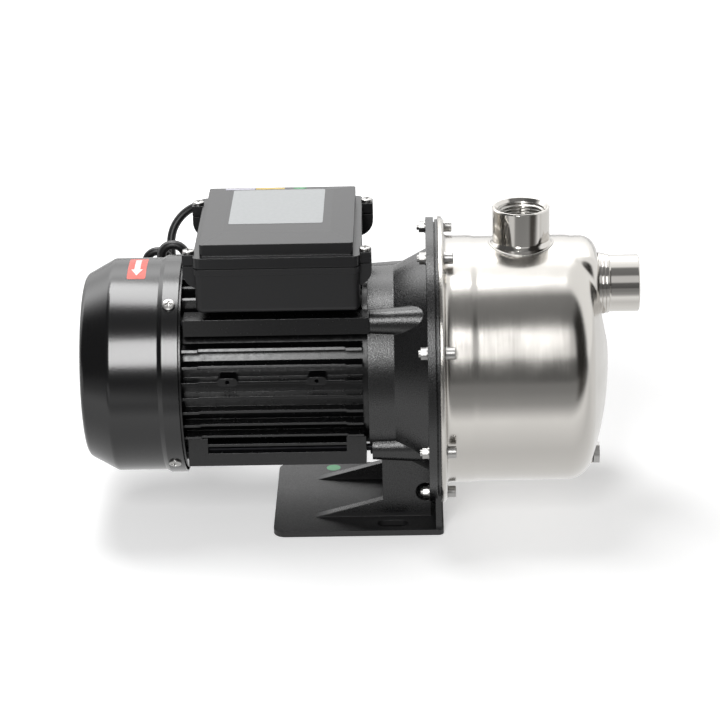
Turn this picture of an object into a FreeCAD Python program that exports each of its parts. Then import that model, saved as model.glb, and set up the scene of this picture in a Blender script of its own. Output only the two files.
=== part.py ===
"""Self-priming booster pump: a stainless jet pump close-coupled to a fan-cooled motor.

The shaft lies along X, the pump end points to +X, and +Z is up.
The origin is the centre of the two mounting slots, on the underside of the foot.
All lengths are in millimetres and all angles in degrees.
"""
import FreeCAD
import Part
import math
import os

Vector = FreeCAD.Vector

# Overall layout
shaft_height = 112.5
joint_face = 35.4
motor_front = -15.2
motor_rear = -146.5

# Foot and bracket casting
foot_left = -86.3
foot_half_width = 61.0
foot_thickness = 4.2
foot_corner = 9.0
foot_front_lip = 1.4
foot_front_corner = 4.0
slot_spacing = 98.0
slot_length = 22.0
slot_width = 11.0
front_wall = 4.2
front_wall_half_width = 59.0
bracket_flange_r = 103.0
bracket_flange_x = 27.0
bracket_groove_x = 32.6
bracket_groove_width = 1.0
bracket_groove_depth = 3.5
bracket_lip_drop = 1.5
ring_r = 68.3
ring_wall = 5.0
ring_end_x = 3.4
cone_large_r = 80.5
rib_offset = 36.5
rib_thickness = 6.5
rib_toe_x = -58.0
rib_heel_x = -7.0
rib_knee_z = 17.4
rib_window_r = 7.0
web_thickness = 6.0
vent_r = 7.0
vent_count = 6
vent_pitch_r = 45.0

# Tie rods
tie_offset = 48.0
tie_r = 2.5
tie_boss_r = 9.0
tie_boss_draft = 2.4
tie_boss_start_x = -13.4
tie_boss_end_x = 26.0
tie_head_flats = 8.0
tie_head_height = 4.0
tie_thread_depth = 18.0

# Flange joint
flange_bolt_count = 8
flange_bolt_pitch_r = 96.5
flange_bolt_turn = -1.4
bolt_r = 2.5
bolt_head_r = 4.25
bolt_head_height = 5.6
bolt_socket_flats = 4.0
bolt_end_proud = 1.6
nut_flats = 8.0
nut_height = 4.0
washer_r = 4.8
washer_thickness = 0.8
bolt_clearance = 0.3

# Pump casing
casing_wall = 1.6
casing_flange_r = 103.8
casing_flange_thickness = 4.3
casing_neck_r = 89.5
casing_neck_end = 58.5
casing_r = 88.85
casing_step = 3.7
casing_neck_fillet = 4.2
casing_neck_spread = 2.1
casing_corner = 20.0
casing_end_x = 157.3
dome_radius = 228.0
pad_r = 38.0
pad_face_x = 150.0
pad_rounding = 12.5
pad_shoulder = 14.0
pad_drop = 0.6
pad_depth = 50.0
pad_blend = 8.0
pad_flat_r = 24.0
pad_dish_r = 46.0
pad_dish_depth = 8.5

# Ports
port_r = 20.5
port_bore_r = 16.65
port_mouth_r = 18.8
port_mouth_depth = 2.2
port_collar_r = 22.3
discharge_x = 95.0
discharge_top_z = shaft_height + 115.8
discharge_collar = 3.6
suction_z = shaft_height + 56.3
suction_end_x = 179.1
suction_collar_r = 22.3
suction_collar = 8.0
suction_collar_rings = 3
suction_collar_taper = 0.5
suction_collar_step = 0.6

# Drain plug
drain_z = shaft_height - 76.0
drain_flats = 14.0
drain_head = 4.5
drain_end_x = 152.3
drain_thread_r = 4.9
drain_washer_r = 7.6
drain_washer_thickness = 0.9
drain_thread_length = 9.0
corner_round = 0.3

# Shaft and bearings
shaft_core_r = 10.0
shaft_rear_x = motor_rear - 39.5
shaft_front_x = 62.0
shaft_pump_r = 7.0
front_bearing_bore_r = 8.5
front_bearing_r = 20.0
front_bearing_width = 12.0
front_bearing_x = -9.5
rear_bearing_bore_r = 7.5
rear_bearing_r = 17.5
rear_bearing_width = 11.0
rear_bearing_x = motor_rear - 11.5
bearing_ring = 3.2
bearing_gap = 0.08
running_gap = 0.05

# Motor housing
housing_bore_r = tie_offset + 7.0
housing_root_r = housing_bore_r + 4.5
fin_tip_r = 70.0
fin_mid_drop = 1.7
fin_pitch = 11.0
fin_thickness = 2.0
fin_rows = 3
fin_end_length = 11.8
fin_front_x = -19.0
corner_outer = tie_offset + 7.0
corner_inner = tie_offset - 10.0
corner_low_z = 41.6
corner_high_z = 53.8
ledge_end_x = -13.7
rail_end_x = -17.7
rail_top_z = 48.3
rail_bottom_z = 58.0
pad_top_z = 36.7
pad_length = 14.0
side_boss_half = 7.2
side_boss_height = 5.8
side_boss_z = 12.5
side_boss_reach = 69.6
side_boss_hole_r = 1.5
side_boss_x = (-114.1, -51.2)
seat_half_width = 36.0
seat_inset = 3.5
wire_hole_length = 40.0
wire_hole_width = 24.0

# Stator and rotor
stator_front_x = -48.0
stator_rear_x = -116.0
stator_bore_r = 30.3
stator_slots = 18
stator_slot_depth = 13.0
stator_slot_width = 4.6
winding_overhang = 21.0
winding_outer_r = housing_bore_r - 5.0
winding_inner_r = 33.0
rotor_r = 30.0
rotor_ring_r = 27.0
rotor_ring_length = 6.0

# Rear end shield
shield_rim_r = 75.6
shield_rim_length = 13.0
shield_wall = 4.0
shield_rim_wall = 3.2
spigot_length = 4.0
spigot_gap = 0.2
cover_lug_width = 9.0
fit_gap = 0.05

# Fan cover
cover_wall = 1.2
cover_end_rounding = 6.0
cover_edge_rounding = 5.0
cover_end_x = motor_rear - 72.5
cover_end_r = 65.5
cover_r = 77.1
cover_cone_x = motor_rear - 51.3
cover_step_x = motor_rear - 16.3
cover_rim_x = motor_rear - 13.0
cover_rim_r = 79.0
cover_front_x = motor_rear - 1.6
cover_screw_x = motor_rear - 8.1
cover_screw_high = 52.8
cover_screw_low = -42.2
cover_screw_head_r = 4.4
cover_screw_head = 1.8
cover_screw_r = 2.0
cover_screw_length = 6.0
grille_rings = (20.0, 34.0, 48.0)
grille_slot = 7.0
grille_sectors = 8
grille_bar_half_angle = 4.5

# Cooling fan
fan_r = 62.0
fan_blades = 7
fan_blade_thickness = 2.0
fan_plate_x = motor_rear - 24.5
fan_plate_thickness = 2.2
fan_blade_width = 17.0
fan_hub_r = 13.0

# Terminal box
box_centre_x = -76.9
box_half_length = 57.3
box_half_width = 65.5
box_bottom_z = shaft_height + 62.5
box_top_z = box_bottom_z + 32.9
box_wall = 2.5
box_rounding = 4.5
box_lip_height = 4.5
gasket_thickness = 0.8
gasket_width = 2.0
lid_skirt_proud = 0.8
lid_skirt_top_z = box_top_z + 8.3
lid_block_half_length = 53.4
lid_block_half_width = 62.4
lid_edge_z = lid_skirt_top_z + 8.7
lid_top_z = lid_edge_z + 3.4
lid_bevel = 15.8
lid_wall = 2.5
ear_screw_x = 61.5
ear_screw_y = 53.1
ear_half_width = 5.4
ear_reach = 65.9
ear_bottom_z = box_bottom_z + 16.5
ear_round_z = box_bottom_z + 28.0
lid_screw_r = 2.0
lid_screw_head_r = 4.0
lid_screw_head = 2.6
lid_screw_length = 14.0

# Terminals and run capacitor on the floor of the box
terminal_x = box_centre_x + 24.9
terminal_count = 4
terminal_pitch = 11.0
terminal_hole_r = 2.6
terminal_hole_floor = 4.0
terminal_screw_r = 2.4
terminal_screw_length = 4.0
strip_width = 12.0
strip_length = 44.0
strip_height = 9.0
capacitor_x = box_centre_x - 29.1
capacitor_r = 16.0
capacitor_start_y = -36.0
capacitor_length = 66.0
capacitor_rounding = 1.5
capacitor_tab_length = 8.0
capacitor_tab_width = 6.0
capacitor_tab_x = (-6.0, 5.0)

# Cable gland
gland_x = -119.0
gland_z = box_bottom_z + 15.0
gland_thread_r = 8.0
gland_flats = 19.0
gland_hex_length = 6.0
gland_cap_r = 8.6
gland_cap_length = 7.0
gland_cap_rounding = 2.0
gland_relief_start_r = 6.6
gland_relief_end_r = 4.3
gland_relief_end_y = 97.0
gland_nut_length = 4.0

# Mains cord, hank and plug
cord_r = 3.25
lead_points = (
    (-119.0, 97.0, 190.0),
    (-119.0, 106.0, 190.3),
    (-123.5, 118.5, 193.0),
    (-133.0, 128.7, 192.8),
    (-145.5, 134.3, 188.9),
    (-159.0, 133.6, 181.0),
    (-167.3, 127.5, 167.7),
    (-163.5, 111.0, 146.0),
)
tail_points = (
    (-135.0, 89.5, 15.0),
    (-124.0, 95.0, 3.6),
    (-111.0, 103.0, 3.4),
    (-98.0, 111.0, 8.5),
    (-86.0, 116.0, 16.0),
    (-73.0, 118.0, 19.5),
    (-60.0, 118.0, 19.5),
)
hank_near_y = 82.5
hank_far_y = 112.5
hank_outline = (
    (-161.0, 0.0), (-176.0, 2.0), (-183.0, 20.0), (-175.0, 50.0), (-167.6, 88.0), (-176.0, 125.0),
    (-187.0, 152.0), (-184.0, 164.0), (-170.0, 176.8), (-158.0, 176.8), (-150.5, 168.0),
    (-151.5, 150.0), (-152.5, 120.0), (-153.4, 88.0), (-146.0, 50.0), (-138.0, 22.0), (-144.0, 3.0),
)
hank_top_z = 180.0
plug_length = 38.0
plug_r = 19.5
plug_neck_length = 22.0
plug_neck_r = 6.5
plug_nose = 1.6
plug_shoulder = 9.0
plug_pin_r = 2.4
plug_pin_length = 19.0
plug_pin_pitch = 19.0

# Seal, impeller and hydraulics
seal_plate_thickness = 2.0
seal_plate_r = 92.0
seal_seat_r = 15.3
seal_seat_length = 7.0
seal_body_r = 12.5
seal_body_end_x = 42.0
o_ring_r = 1.3
impeller_back_x = 43.0
impeller_plate = 2.0
impeller_width = 5.5
impeller_r = 58.0
impeller_eye_r = 17.0
impeller_blades = 6
impeller_blade = 2.0
impeller_hub_r = 11.5
impeller_nut_flats = 17.0
impeller_nut_length = 7.0
diffuser_r = 80.0
diffuser_wall = 2.6
diffuser_gap = 1.5
diffuser_vanes = 7
ejector_r = 24.0
ejector_throat_r = 9.0
ejector_wall = 3.0
ejector_front_x = 121.0
chamber_end_x = 146.0
chamber_r = 26.0
nozzle_r = 5.5
nozzle_length = 22.0
chamber_inlet_r = 14.0


def turned(points):
    """Solid of revolution about the shaft, from (x, radius) points of its section."""
    corners = [Vector(x, 0, shaft_height + radius) for x, radius in points]
    face = Part.Face(Part.makePolygon(corners + corners[:1]))
    return face.revolve(Vector(0, 0, shaft_height), Vector(1, 0, 0), 360)


def bar_x(radius, start, end, y=0.0, z=shaft_height):
    """Round bar along X."""
    return Part.makeCylinder(radius, end - start, Vector(start, y, z), Vector(1, 0, 0))


def bar_y(radius, start, end, x, z):
    """Round bar along Y."""
    return Part.makeCylinder(radius, end - start, Vector(x, start, z), Vector(0, 1, 0))


def bar_z(radius, start, end, x, y):
    """Round bar along Z."""
    return Part.makeCylinder(radius, end - start, Vector(x, y, start), Vector(0, 0, 1))


def block(x, y, z):
    """Box between two limits on each axis."""
    size = (x[1] - x[0], y[1] - y[0], z[1] - z[0])
    return Part.makeBox(*size, Vector(x[0], y[0], z[0]))


def join(shapes):
    """One solid from pieces that touch or overlap."""
    first = shapes[0]
    return first.fuse(list(shapes[1:])).removeSplitter()


def around_shaft(shape, angle):
    """Copy of a shape turned about the shaft."""
    copy = shape.copy()
    copy.rotate(Vector(0, 0, shaft_height), Vector(1, 0, 0), angle)
    return copy


def hexagon_x(flats, start, end, y=0.0, z=shaft_height):
    """Hexagonal bar along X."""
    reach = flats / math.sqrt(3.0)
    corners = []
    for step in range(7):
        angle = math.radians(60.0 * step)
        corners.append(Vector(start, y + reach * math.cos(angle), z + reach * math.sin(angle)))
    return Part.Face(Part.makePolygon(corners)).extrude(Vector(end - start, 0, 0))


def at_ties(shape):
    """The shape, drawn on the shaft's axis, moved to the four tie rods."""
    copies = []
    for side in (-1, 1):
        for level in (-1, 1):
            copy = shape.copy()
            copy.translate(Vector(0, side * tie_offset, level * tie_offset))
            copies.append(copy)
    return copies


def at_flange_bolts(shape):
    """The shape, drawn on the shaft's axis, moved to each bolt of the flange joint."""
    copies = []
    for step in range(flange_bolt_count):
        angle = math.radians(360.0 * (step + 0.5) / flange_bolt_count + flange_bolt_turn)
        shift = Vector(0, math.cos(angle), math.sin(angle)) * flange_bolt_pitch_r
        copy = shape.copy()
        copy.translate(shift)
        copies.append(copy)
    return copies


def save(name, shape):
    """Write one sub-part, as a group of separate solids when it holds several."""
    if isinstance(shape, list):
        shape = Part.makeCompound(shape)
    shape.exportStep(os.path.join("parts", name + ".step"))
    print(name, len(shape.Solids), "solids", round(shape.Volume / 1000.0, 2), "cm3")


# Bracket and foot

def foot_plate():
    front = joint_face + foot_front_lip
    plate = block((foot_left, front), (-foot_half_width, foot_half_width), (0, foot_thickness))
    upright = [edge for edge in plate.Edges if edge.BoundBox.ZLength > foot_thickness / 2]
    rear_corners = [edge for edge in upright if edge.BoundBox.XMin < 0]
    plate = plate.makeFillet(foot_corner, rear_corners)
    upright = [edge for edge in plate.Edges if edge.BoundBox.ZLength > foot_thickness / 2]
    front_corners = [edge for edge in upright if edge.BoundBox.XMin > joint_face]
    plate = plate.makeFillet(foot_front_corner, front_corners)
    for side in (-1, 1):
        centre_y = side * slot_spacing / 2
        reach = slot_length / 2 - slot_width / 2
        middle = block(
            (-reach, reach),
            (centre_y - slot_width / 2, centre_y + slot_width / 2),
            (-1, foot_thickness + 1),
        )
        ends = [bar_z(slot_width / 2, -1, foot_thickness + 1, end * reach, centre_y) for end in (-1, 1)]
        plate = plate.cut(join([middle] + ends))
    return plate


def foot_rib(side):
    """Side rib from the foot plate up to the bearing ring, with the window over one nut."""
    near = side * rib_offset
    far = side * (rib_offset - rib_thickness)
    low = foot_thickness - 0.5
    top = shaft_height - 0.75 * ring_r
    corners = [
        (rib_toe_x, low),
        (bracket_flange_x + 1, low),
        (bracket_flange_x + 1, top),
        (rib_heel_x, top),
        (rib_heel_x, rib_knee_z),
    ]
    wire = Part.makePolygon([Vector(x, near, z) for x, z in corners + corners[:1]])
    rib = Part.Face(wire).extrude(Vector(0, far - near, 0))
    bolt_angle = math.radians(180.0 / flange_bolt_count)
    window_z = shaft_height - flange_bolt_pitch_r * math.cos(bolt_angle)
    window_y = sorted((near, far))
    window = bar_y(rib_window_r, window_y[0] - 1, window_y[1] + 1, bracket_flange_x - 3.0, window_z)
    return rib.cut(window)


def bracket_shell():
    """Ring, cone and flange in one turned shell, with the bearing web inside."""
    cone_end = bracket_flange_x
    inner_cone = cone_large_r - ring_wall
    face = joint_face
    lip_x = bracket_groove_x + bracket_groove_width
    recess = face - seal_plate_thickness
    seat_end = front_bearing_x + front_bearing_width
    section = [
        (motor_front, ring_r),
        (ring_end_x, ring_r),
        (cone_end, cone_large_r),
        (cone_end, bracket_flange_r),
        (bracket_groove_x, bracket_flange_r),
        (bracket_groove_x, bracket_flange_r - bracket_groove_depth),
        (lip_x, bracket_flange_r - bracket_groove_depth),
        (lip_x, bracket_flange_r - bracket_lip_drop),
        (face, bracket_flange_r - bracket_lip_drop),
        (face, seal_plate_r + 0.2),
        (recess, seal_plate_r + 0.2),
        (recess, inner_cone),
        (cone_end, inner_cone),
        (ring_end_x, ring_r - ring_wall),
        (web_front(), ring_r - ring_wall),
        (web_front(), front_bearing_r + 6.0),
        (seat_end + 1.8, front_bearing_r + 6.0),
        (seat_end + 1.8, front_bearing_bore_r + 4.0),
        (seat_end, front_bearing_bore_r + 4.0),
        (seat_end, front_bearing_r),
        (motor_front, front_bearing_r),
        (motor_front, housing_bore_r - 6.0),
        (motor_front - spigot_length, housing_bore_r - 6.0),
        (motor_front - spigot_length, housing_bore_r - spigot_gap),
        (motor_front, housing_bore_r - spigot_gap),
    ]
    return turned(section)


def web_front():
    return motor_front + web_thickness


def motor_bracket():
    shell = bracket_shell()
    wall_top = shaft_height - bracket_flange_r * 0.75
    wall = block(
        (joint_face - front_wall, joint_face),
        (-front_wall_half_width, front_wall_half_width),
        (0, wall_top),
    )
    wall = wall.cut(bar_x(seal_plate_r + 0.2, joint_face - front_wall - 1, joint_face + 1))
    boss = Part.makeCone(
        tie_boss_r, tie_boss_r + tie_boss_draft, tie_boss_end_x - tie_boss_start_x,
        Vector(tie_boss_start_x, 0, shaft_height), Vector(1, 0, 0),
    )
    bosses = at_ties(boss)
    hollow = turned([
        (web_front(), 0),
        (web_front(), ring_r - ring_wall),
        (ring_end_x, ring_r - ring_wall),
        (bracket_flange_x, cone_large_r - ring_wall),
        (joint_face, cone_large_r - ring_wall),
        (joint_face, 0),
    ])
    bosses = [boss.cut(hollow) for boss in bosses]
    casting = join([shell, foot_plate(), wall, foot_rib(-1), foot_rib(1)] + bosses)
    for hole in at_ties(bar_x(tie_r + 0.05, motor_front - 1, motor_front + tie_thread_depth + 1)):
        casting = casting.cut(hole)
    bolt_hole = bar_x(bolt_r + bolt_clearance, bracket_flange_x - 2, joint_face + 1)
    for hole in at_flange_bolts(bolt_hole):
        casting = casting.cut(hole)
    for step in range(vent_count):
        vent = bar_x(vent_r, motor_front - 1, web_front() + 1, 0.0, shaft_height + vent_pitch_r)
        casting = casting.cut(around_shaft(vent, 360.0 * (step + 0.5) / vent_count))
    return casting


# Motor

def fin_block():
    """Straight fins on all four sides, level on the flanks and upright above and below."""
    half = fin_thickness / 2
    fins = []
    for row in range(-fin_rows, fin_rows + 1):
        offset = row * fin_pitch
        level = shaft_height + offset
        fins.append(block(
            (motor_rear, fin_front_x), (-fin_tip_r, fin_tip_r), (level - half, level + half),
        ))
        fins.append(block(
            (motor_rear, fin_front_x),
            (offset - half, offset + half),
            (shaft_height - fin_tip_r, shaft_height + fin_tip_r),
        ))
    return join(fins).common(bar_x(fin_tip_r, motor_rear, fin_front_x))


def corner_blocks():
    """Corner bars for the tie rods: a ledge above, and a rail with end pads below."""
    span = (motor_rear + 1.5, rail_end_x)
    bracket_ring = bar_x(ring_r + 0.3, motor_front - 0.3, ledge_end_x + 1)
    blocks = []
    for side in (-1, 1):
        across = sorted((side * corner_inner, side * corner_outer))
        ledge = block(
            (span[0], ledge_end_x), across,
            (shaft_height + corner_low_z, shaft_height + corner_high_z),
        )
        blocks.append(ledge.cut(bracket_ring))
        blocks.append(block(
            span, across, (shaft_height - rail_bottom_z, shaft_height - rail_top_z),
        ))
        shelf = sorted((side * corner_inner, side * (corner_outer - 1.0)))
        blocks.append(block(
            span, shelf, (shaft_height - corner_low_z - fin_thickness, shaft_height - corner_low_z),
        ))
        for start in (span[0], span[1] - pad_length):
            blocks.append(block(
                (start, start + pad_length),
                across,
                (shaft_height - rail_top_z - 0.5, shaft_height - pad_top_z),
            ))
    return blocks


def side_boss(x, side):
    """Small tapped lug between two flank fins."""
    level = shaft_height + side_boss_z
    half = side_boss_height / 2
    reach = side_boss_half - half
    span = sorted((side * (housing_root_r - 3.0), side * side_boss_reach))
    middle = block((x - reach, x + reach), span, (level - half, level + half))
    ends = [bar_y(half, span[0], span[1], x + end * reach, level) for end in (-1, 1)]
    return join([middle] + ends)


def stator_housing():
    body = bar_x(housing_root_r, motor_rear, motor_front)
    fins = fin_block()
    mid = turned([
        (motor_rear + fin_end_length, fin_tip_r - fin_mid_drop),
        (motor_rear + fin_end_length, fin_tip_r + 1),
        (fin_front_x - fin_end_length, fin_tip_r + 1),
        (fin_front_x - fin_end_length, fin_tip_r - fin_mid_drop),
    ])
    fins = fins.cut(mid)
    lugs = [side_boss(x, side) for x in side_boss_x for side in (-1, 1)]
    seat = block(
        (box_centre_x - box_half_length + seat_inset, box_centre_x + box_half_length - seat_inset),
        (-seat_half_width, seat_half_width),
        (shaft_height, box_bottom_z),
    )
    housing = join([body, fins, seat] + corner_blocks() + lugs)
    above_seat = block(
        (box_centre_x - box_half_length - 1, box_centre_x + box_half_length + 1),
        (-fin_tip_r, fin_tip_r),
        (box_bottom_z, box_bottom_z + 30),
    )
    housing = housing.cut(above_seat)
    housing = housing.cut(bar_x(housing_bore_r, motor_rear - 1, motor_front + 1))
    wires = block(
        (box_centre_x - wire_hole_length / 2, box_centre_x + wire_hole_length / 2),
        (-wire_hole_width / 2, wire_hole_width / 2),
        (shaft_height, box_bottom_z + 1),
    )
    housing = housing.cut(wires)
    for hole in at_ties(bar_x(tie_r + 0.4, motor_rear - 1, ledge_end_x + 1)):
        housing = housing.cut(hole)
    for x in side_boss_x:
        level = shaft_height + side_boss_z
        for side in (-1, 1):
            span = sorted((side * (side_boss_reach - 8.0), side * (side_boss_reach + 1)))
            housing = housing.cut(bar_y(side_boss_hole_r, span[0], span[1], x, level))
    for screw in box_screw_places():
        housing = housing.cut(bar_z(lid_screw_r - 0.1, box_bottom_z - 9, box_bottom_z + 1, *screw))
    return housing


def box_screw_places():
    reach_x = box_half_length - 14.0
    reach_y = seat_half_width - 8.0
    return [
        (box_centre_x + end * reach_x, side * reach_y) for end in (-1, 1) for side in (-1, 1)
    ]


def stator_core():
    core = turned([
        (stator_rear_x, stator_bore_r),
        (stator_rear_x, housing_bore_r - fit_gap),
        (stator_front_x, housing_bore_r - fit_gap),
        (stator_front_x, stator_bore_r),
    ])
    start_r = stator_bore_r + 2.0
    for step in range(stator_slots):
        slot = block(
            (stator_rear_x - 1, stator_front_x + 1),
            (-stator_slot_width / 2, stator_slot_width / 2),
            (shaft_height + start_r, shaft_height + start_r + stator_slot_depth),
        )
        core = core.cut(around_shaft(slot, 360.0 * step / stator_slots))
    return core


def stator_windings():
    """Two end-turn bundles, one at each end of the core."""
    rings = []
    for face, way in ((stator_rear_x, -1), (stator_front_x, 1)):
        end = face + way * winding_overhang
        soft = face + way * winding_overhang * 0.7
        rings.append(turned([
            (face, winding_inner_r),
            (face, winding_outer_r),
            (soft, winding_outer_r),
            (end, winding_outer_r - 5.0),
            (end, winding_inner_r + 4.0),
            (soft, winding_inner_r),
        ]))
    return rings


def rotor_core():
    core = turned([
        (stator_rear_x - rotor_ring_length, shaft_core_r),
        (stator_rear_x - rotor_ring_length, rotor_ring_r),
        (stator_rear_x, rotor_ring_r),
        (stator_rear_x, rotor_r),
        (stator_front_x, rotor_r),
        (stator_front_x, rotor_ring_r),
        (stator_front_x + rotor_ring_length, rotor_ring_r),
        (stator_front_x + rotor_ring_length, shaft_core_r),
    ])
    return core


def shaft():
    rear_seat = rear_bearing_x + rear_bearing_width
    front_end = front_bearing_x + front_bearing_width
    nut_start = impeller_front_x()
    body = turned([
        (shaft_rear_x, 0),
        (shaft_rear_x, rear_bearing_bore_r - 0.8),
        (rear_bearing_x - 4.0, rear_bearing_bore_r - 0.8),
        (rear_bearing_x - 4.0, rear_bearing_bore_r),
        (rear_seat, rear_bearing_bore_r),
        (rear_seat, shaft_core_r),
        (front_bearing_x, shaft_core_r),
        (front_bearing_x, front_bearing_bore_r),
        (front_end + 1.0, front_bearing_bore_r),
        (front_end + 1.0, shaft_pump_r),
        (nut_start, shaft_pump_r),
        (nut_start, shaft_pump_r - 1.5),
        (shaft_front_x, shaft_pump_r - 1.5),
        (shaft_front_x, 0),
    ])
    return body


def bearing(start, width, bore, outer):
    """Shielded ball bearing: the outer ring with its shields, and the inner ring."""
    end = start + width
    lip = bore + bearing_ring + bearing_gap
    outer_ring = turned([
        (start, outer),
        (end, outer),
        (end, outer - bearing_ring),
        (end - 0.8, outer - bearing_ring),
        (end - 0.8, lip),
        (start + 0.8, lip),
        (start + 0.8, outer - bearing_ring),
        (start, outer - bearing_ring),
    ])
    inner_ring = turned([
        (start, bore),
        (end, bore),
        (end, bore + bearing_ring),
        (start, bore + bearing_ring),
    ])
    return outer_ring, inner_ring


def cover_screw_angles():
    return (
        cover_screw_high, cover_screw_low, 180.0 - cover_screw_high, 180.0 - cover_screw_low,
    )


def toward(angle, radius):
    """Point offset from the shaft, with 0 degrees towards -Y and 90 degrees up."""
    return Vector(
        0, -radius * math.cos(math.radians(angle)), radius * math.sin(math.radians(angle)),
    )


def rear_end_shield():
    hub_r = rear_bearing_r + 5.0
    rim_start = motor_rear - shield_rim_length
    bearing_end = rear_bearing_x + rear_bearing_width
    shield = turned([
        (motor_rear, housing_bore_r - spigot_gap),
        (motor_rear + spigot_length, housing_bore_r - spigot_gap),
        (motor_rear + spigot_length, housing_bore_r - 5.0),
        (motor_rear - shield_wall, housing_bore_r - 5.0),
        (motor_rear - shield_wall, hub_r),
        (bearing_end + 0.5, hub_r),
        (bearing_end + 0.5, rear_bearing_r),
        (rear_bearing_x, rear_bearing_r),
        (rear_bearing_x, shaft_core_r + 1.0),
        (rear_bearing_x - 1.6, shaft_core_r + 1.0),
        (rear_bearing_x - 1.6, hub_r),
        (motor_rear - 2 * shield_wall, hub_r),
        (motor_rear - 2 * shield_wall, shield_rim_r - shield_rim_wall),
        (rim_start, shield_rim_r - shield_rim_wall),
        (rim_start, shield_rim_r),
        (motor_rear, shield_rim_r),
    ])
    for place in at_ties(bar_x(tie_r + 0.4, rim_start - 1, motor_rear + 1)):
        shield = shield.cut(place)
    lugs = []
    for angle in cover_screw_angles():
        inner = shield_rim_r - shield_rim_wall
        start = toward(angle, inner + 0.5) + Vector(cover_screw_x, 0, shaft_height)
        way = toward(angle, 1.0)
        lugs.append(Part.makeCylinder(cover_lug_width / 2, cover_rim_r - inner, start, way))
    keep = bar_x(cover_rim_r - cover_wall - fit_gap, rim_start, motor_rear)
    lugs = [lug.common(keep) for lug in lugs]
    shield = join([shield] + lugs)
    for angle in cover_screw_angles():
        start = toward(angle, shield_rim_r - 6.0) + Vector(cover_screw_x, 0, shaft_height)
        hole = Part.makeCylinder(cover_screw_r + 0.05, 12.0, start, toward(angle, 1.0))
        shield = shield.cut(hole)
    return shield


def tie_rods():
    start = motor_rear - 2 * shield_wall
    end = motor_front + tie_thread_depth
    rod = join([
        bar_x(tie_r, start - 0.5, end),
        hexagon_x(tie_head_flats, start - tie_head_height, start),
    ])
    return at_ties(rod)


# Fan and fan cover

def cover_section(inset):
    """Outer line of the fan cover, or its inner line when inset by the wall."""
    return [
        (cover_end_x + inset, cover_end_r - 0.6 * inset),
        (cover_cone_x, cover_r - inset),
        (cover_step_x, cover_r - inset),
        (cover_rim_x, cover_rim_r - inset),
        (cover_front_x, cover_rim_r - inset),
    ]


def fan_cover():
    outer = turned([(cover_end_x, 0)] + cover_section(0.0) + [(cover_front_x, 0)])
    outer = rounded_rims(outer, 0.0)
    inner_line = cover_section(cover_wall)
    inner_line[-1] = (cover_front_x + 1, cover_rim_r - cover_wall)
    inner = turned([(cover_end_x + cover_wall, 0)] + inner_line + [(cover_front_x + 1, 0)])
    inner = rounded_rims(inner, cover_wall)
    cover = outer.cut(inner)
    cover = cover.cut(join(grille_slots()))
    for angle in cover_screw_angles():
        start = toward(angle, cover_rim_r - 6.0) + Vector(cover_screw_x, 0, shaft_height)
        cover = cover.cut(Part.makeCylinder(cover_screw_r + 0.2, 12.0, start, toward(angle, 1.0)))
    return cover


def rounded_rims(shape, inset):
    """Rounds the rim of the cover's end face and the edge where its cone meets the drum."""
    for x, rounding in ((cover_end_x + inset, cover_end_rounding), (cover_cone_x, cover_edge_rounding)):
        rims = []
        for edge in shape.Edges:
            box = edge.BoundBox
            if abs(box.XMin - x) < 0.01 and box.XLength < 0.01 and box.YLength > cover_end_r:
                rims.append(edge)
        shape = shape.makeFillet(rounding - inset, rims)
    return shape


def grille_slots():
    """Curved air slots in rings on the cover's end face."""
    slots = []
    sweep = 360.0 / grille_sectors - 2 * grille_bar_half_angle
    start_x = cover_end_x - 1
    depth = cover_wall + 2
    for radius in grille_rings:
        outer = Part.makeCylinder(
            radius + grille_slot, depth, Vector(start_x, 0, shaft_height), Vector(1, 0, 0), sweep,
        )
        core = bar_x(radius, start_x - 1, start_x + depth + 1)
        slot = outer.cut(core)
        for step in range(grille_sectors):
            slots.append(around_shaft(slot, 360.0 * step / grille_sectors + grille_bar_half_angle))
    return slots


def fan_cover_screws():
    screws = []
    for angle in cover_screw_angles():
        way = toward(angle, 1.0)
        seat = toward(angle, cover_rim_r) + Vector(cover_screw_x, 0, shaft_height)
        head = Part.makeCylinder(cover_screw_head_r, cover_screw_head, seat, way)
        head = head.makeChamfer(0.7, [head.Edges[0]])
        thread_start = seat - way * cover_screw_length
        thread = Part.makeCylinder(cover_screw_r, cover_screw_length + 0.2, thread_start, way)
        screws.append(join([head, thread]))
    return screws


def cooling_fan():
    """Fan wheel: hub, back plate and straight radial blades with raked tips."""
    bore = rear_bearing_bore_r - 0.8
    hub_end = fan_plate_x + fan_plate_thickness
    hub = turned([
        (fan_plate_x - fan_blade_width * 0.8, bore),
        (fan_plate_x - fan_blade_width * 0.8, fan_hub_r - 1.5),
        (hub_end, fan_hub_r),
        (hub_end, bore),
    ])
    plate = turned([
        (fan_plate_x, bore),
        (fan_plate_x, fan_r * 0.72),
        (hub_end, fan_r * 0.72),
        (hub_end, bore),
    ])
    corners = [
        (fan_plate_x + 0.5, fan_hub_r - 2.0),
        (fan_plate_x - fan_blade_width * 0.75, fan_hub_r - 2.0),
        (fan_plate_x - fan_blade_width, fan_r * 0.55),
        (fan_plate_x - fan_blade_width, fan_r * 0.86),
        (fan_plate_x - fan_blade_width * 0.4, fan_r),
        (hub_end, fan_r),
        (hub_end, fan_r * 0.5),
    ]
    half = fan_blade_thickness / 2
    outline = [Vector(x, -half, shaft_height + radius) for x, radius in corners + corners[:1]]
    blade = Part.Face(Part.makePolygon(outline)).extrude(Vector(0, fan_blade_thickness, 0))
    blades = [around_shaft(blade, 360.0 * step / fan_blades) for step in range(fan_blades)]
    return join([hub, plate] + blades)


# Terminal box

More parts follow.
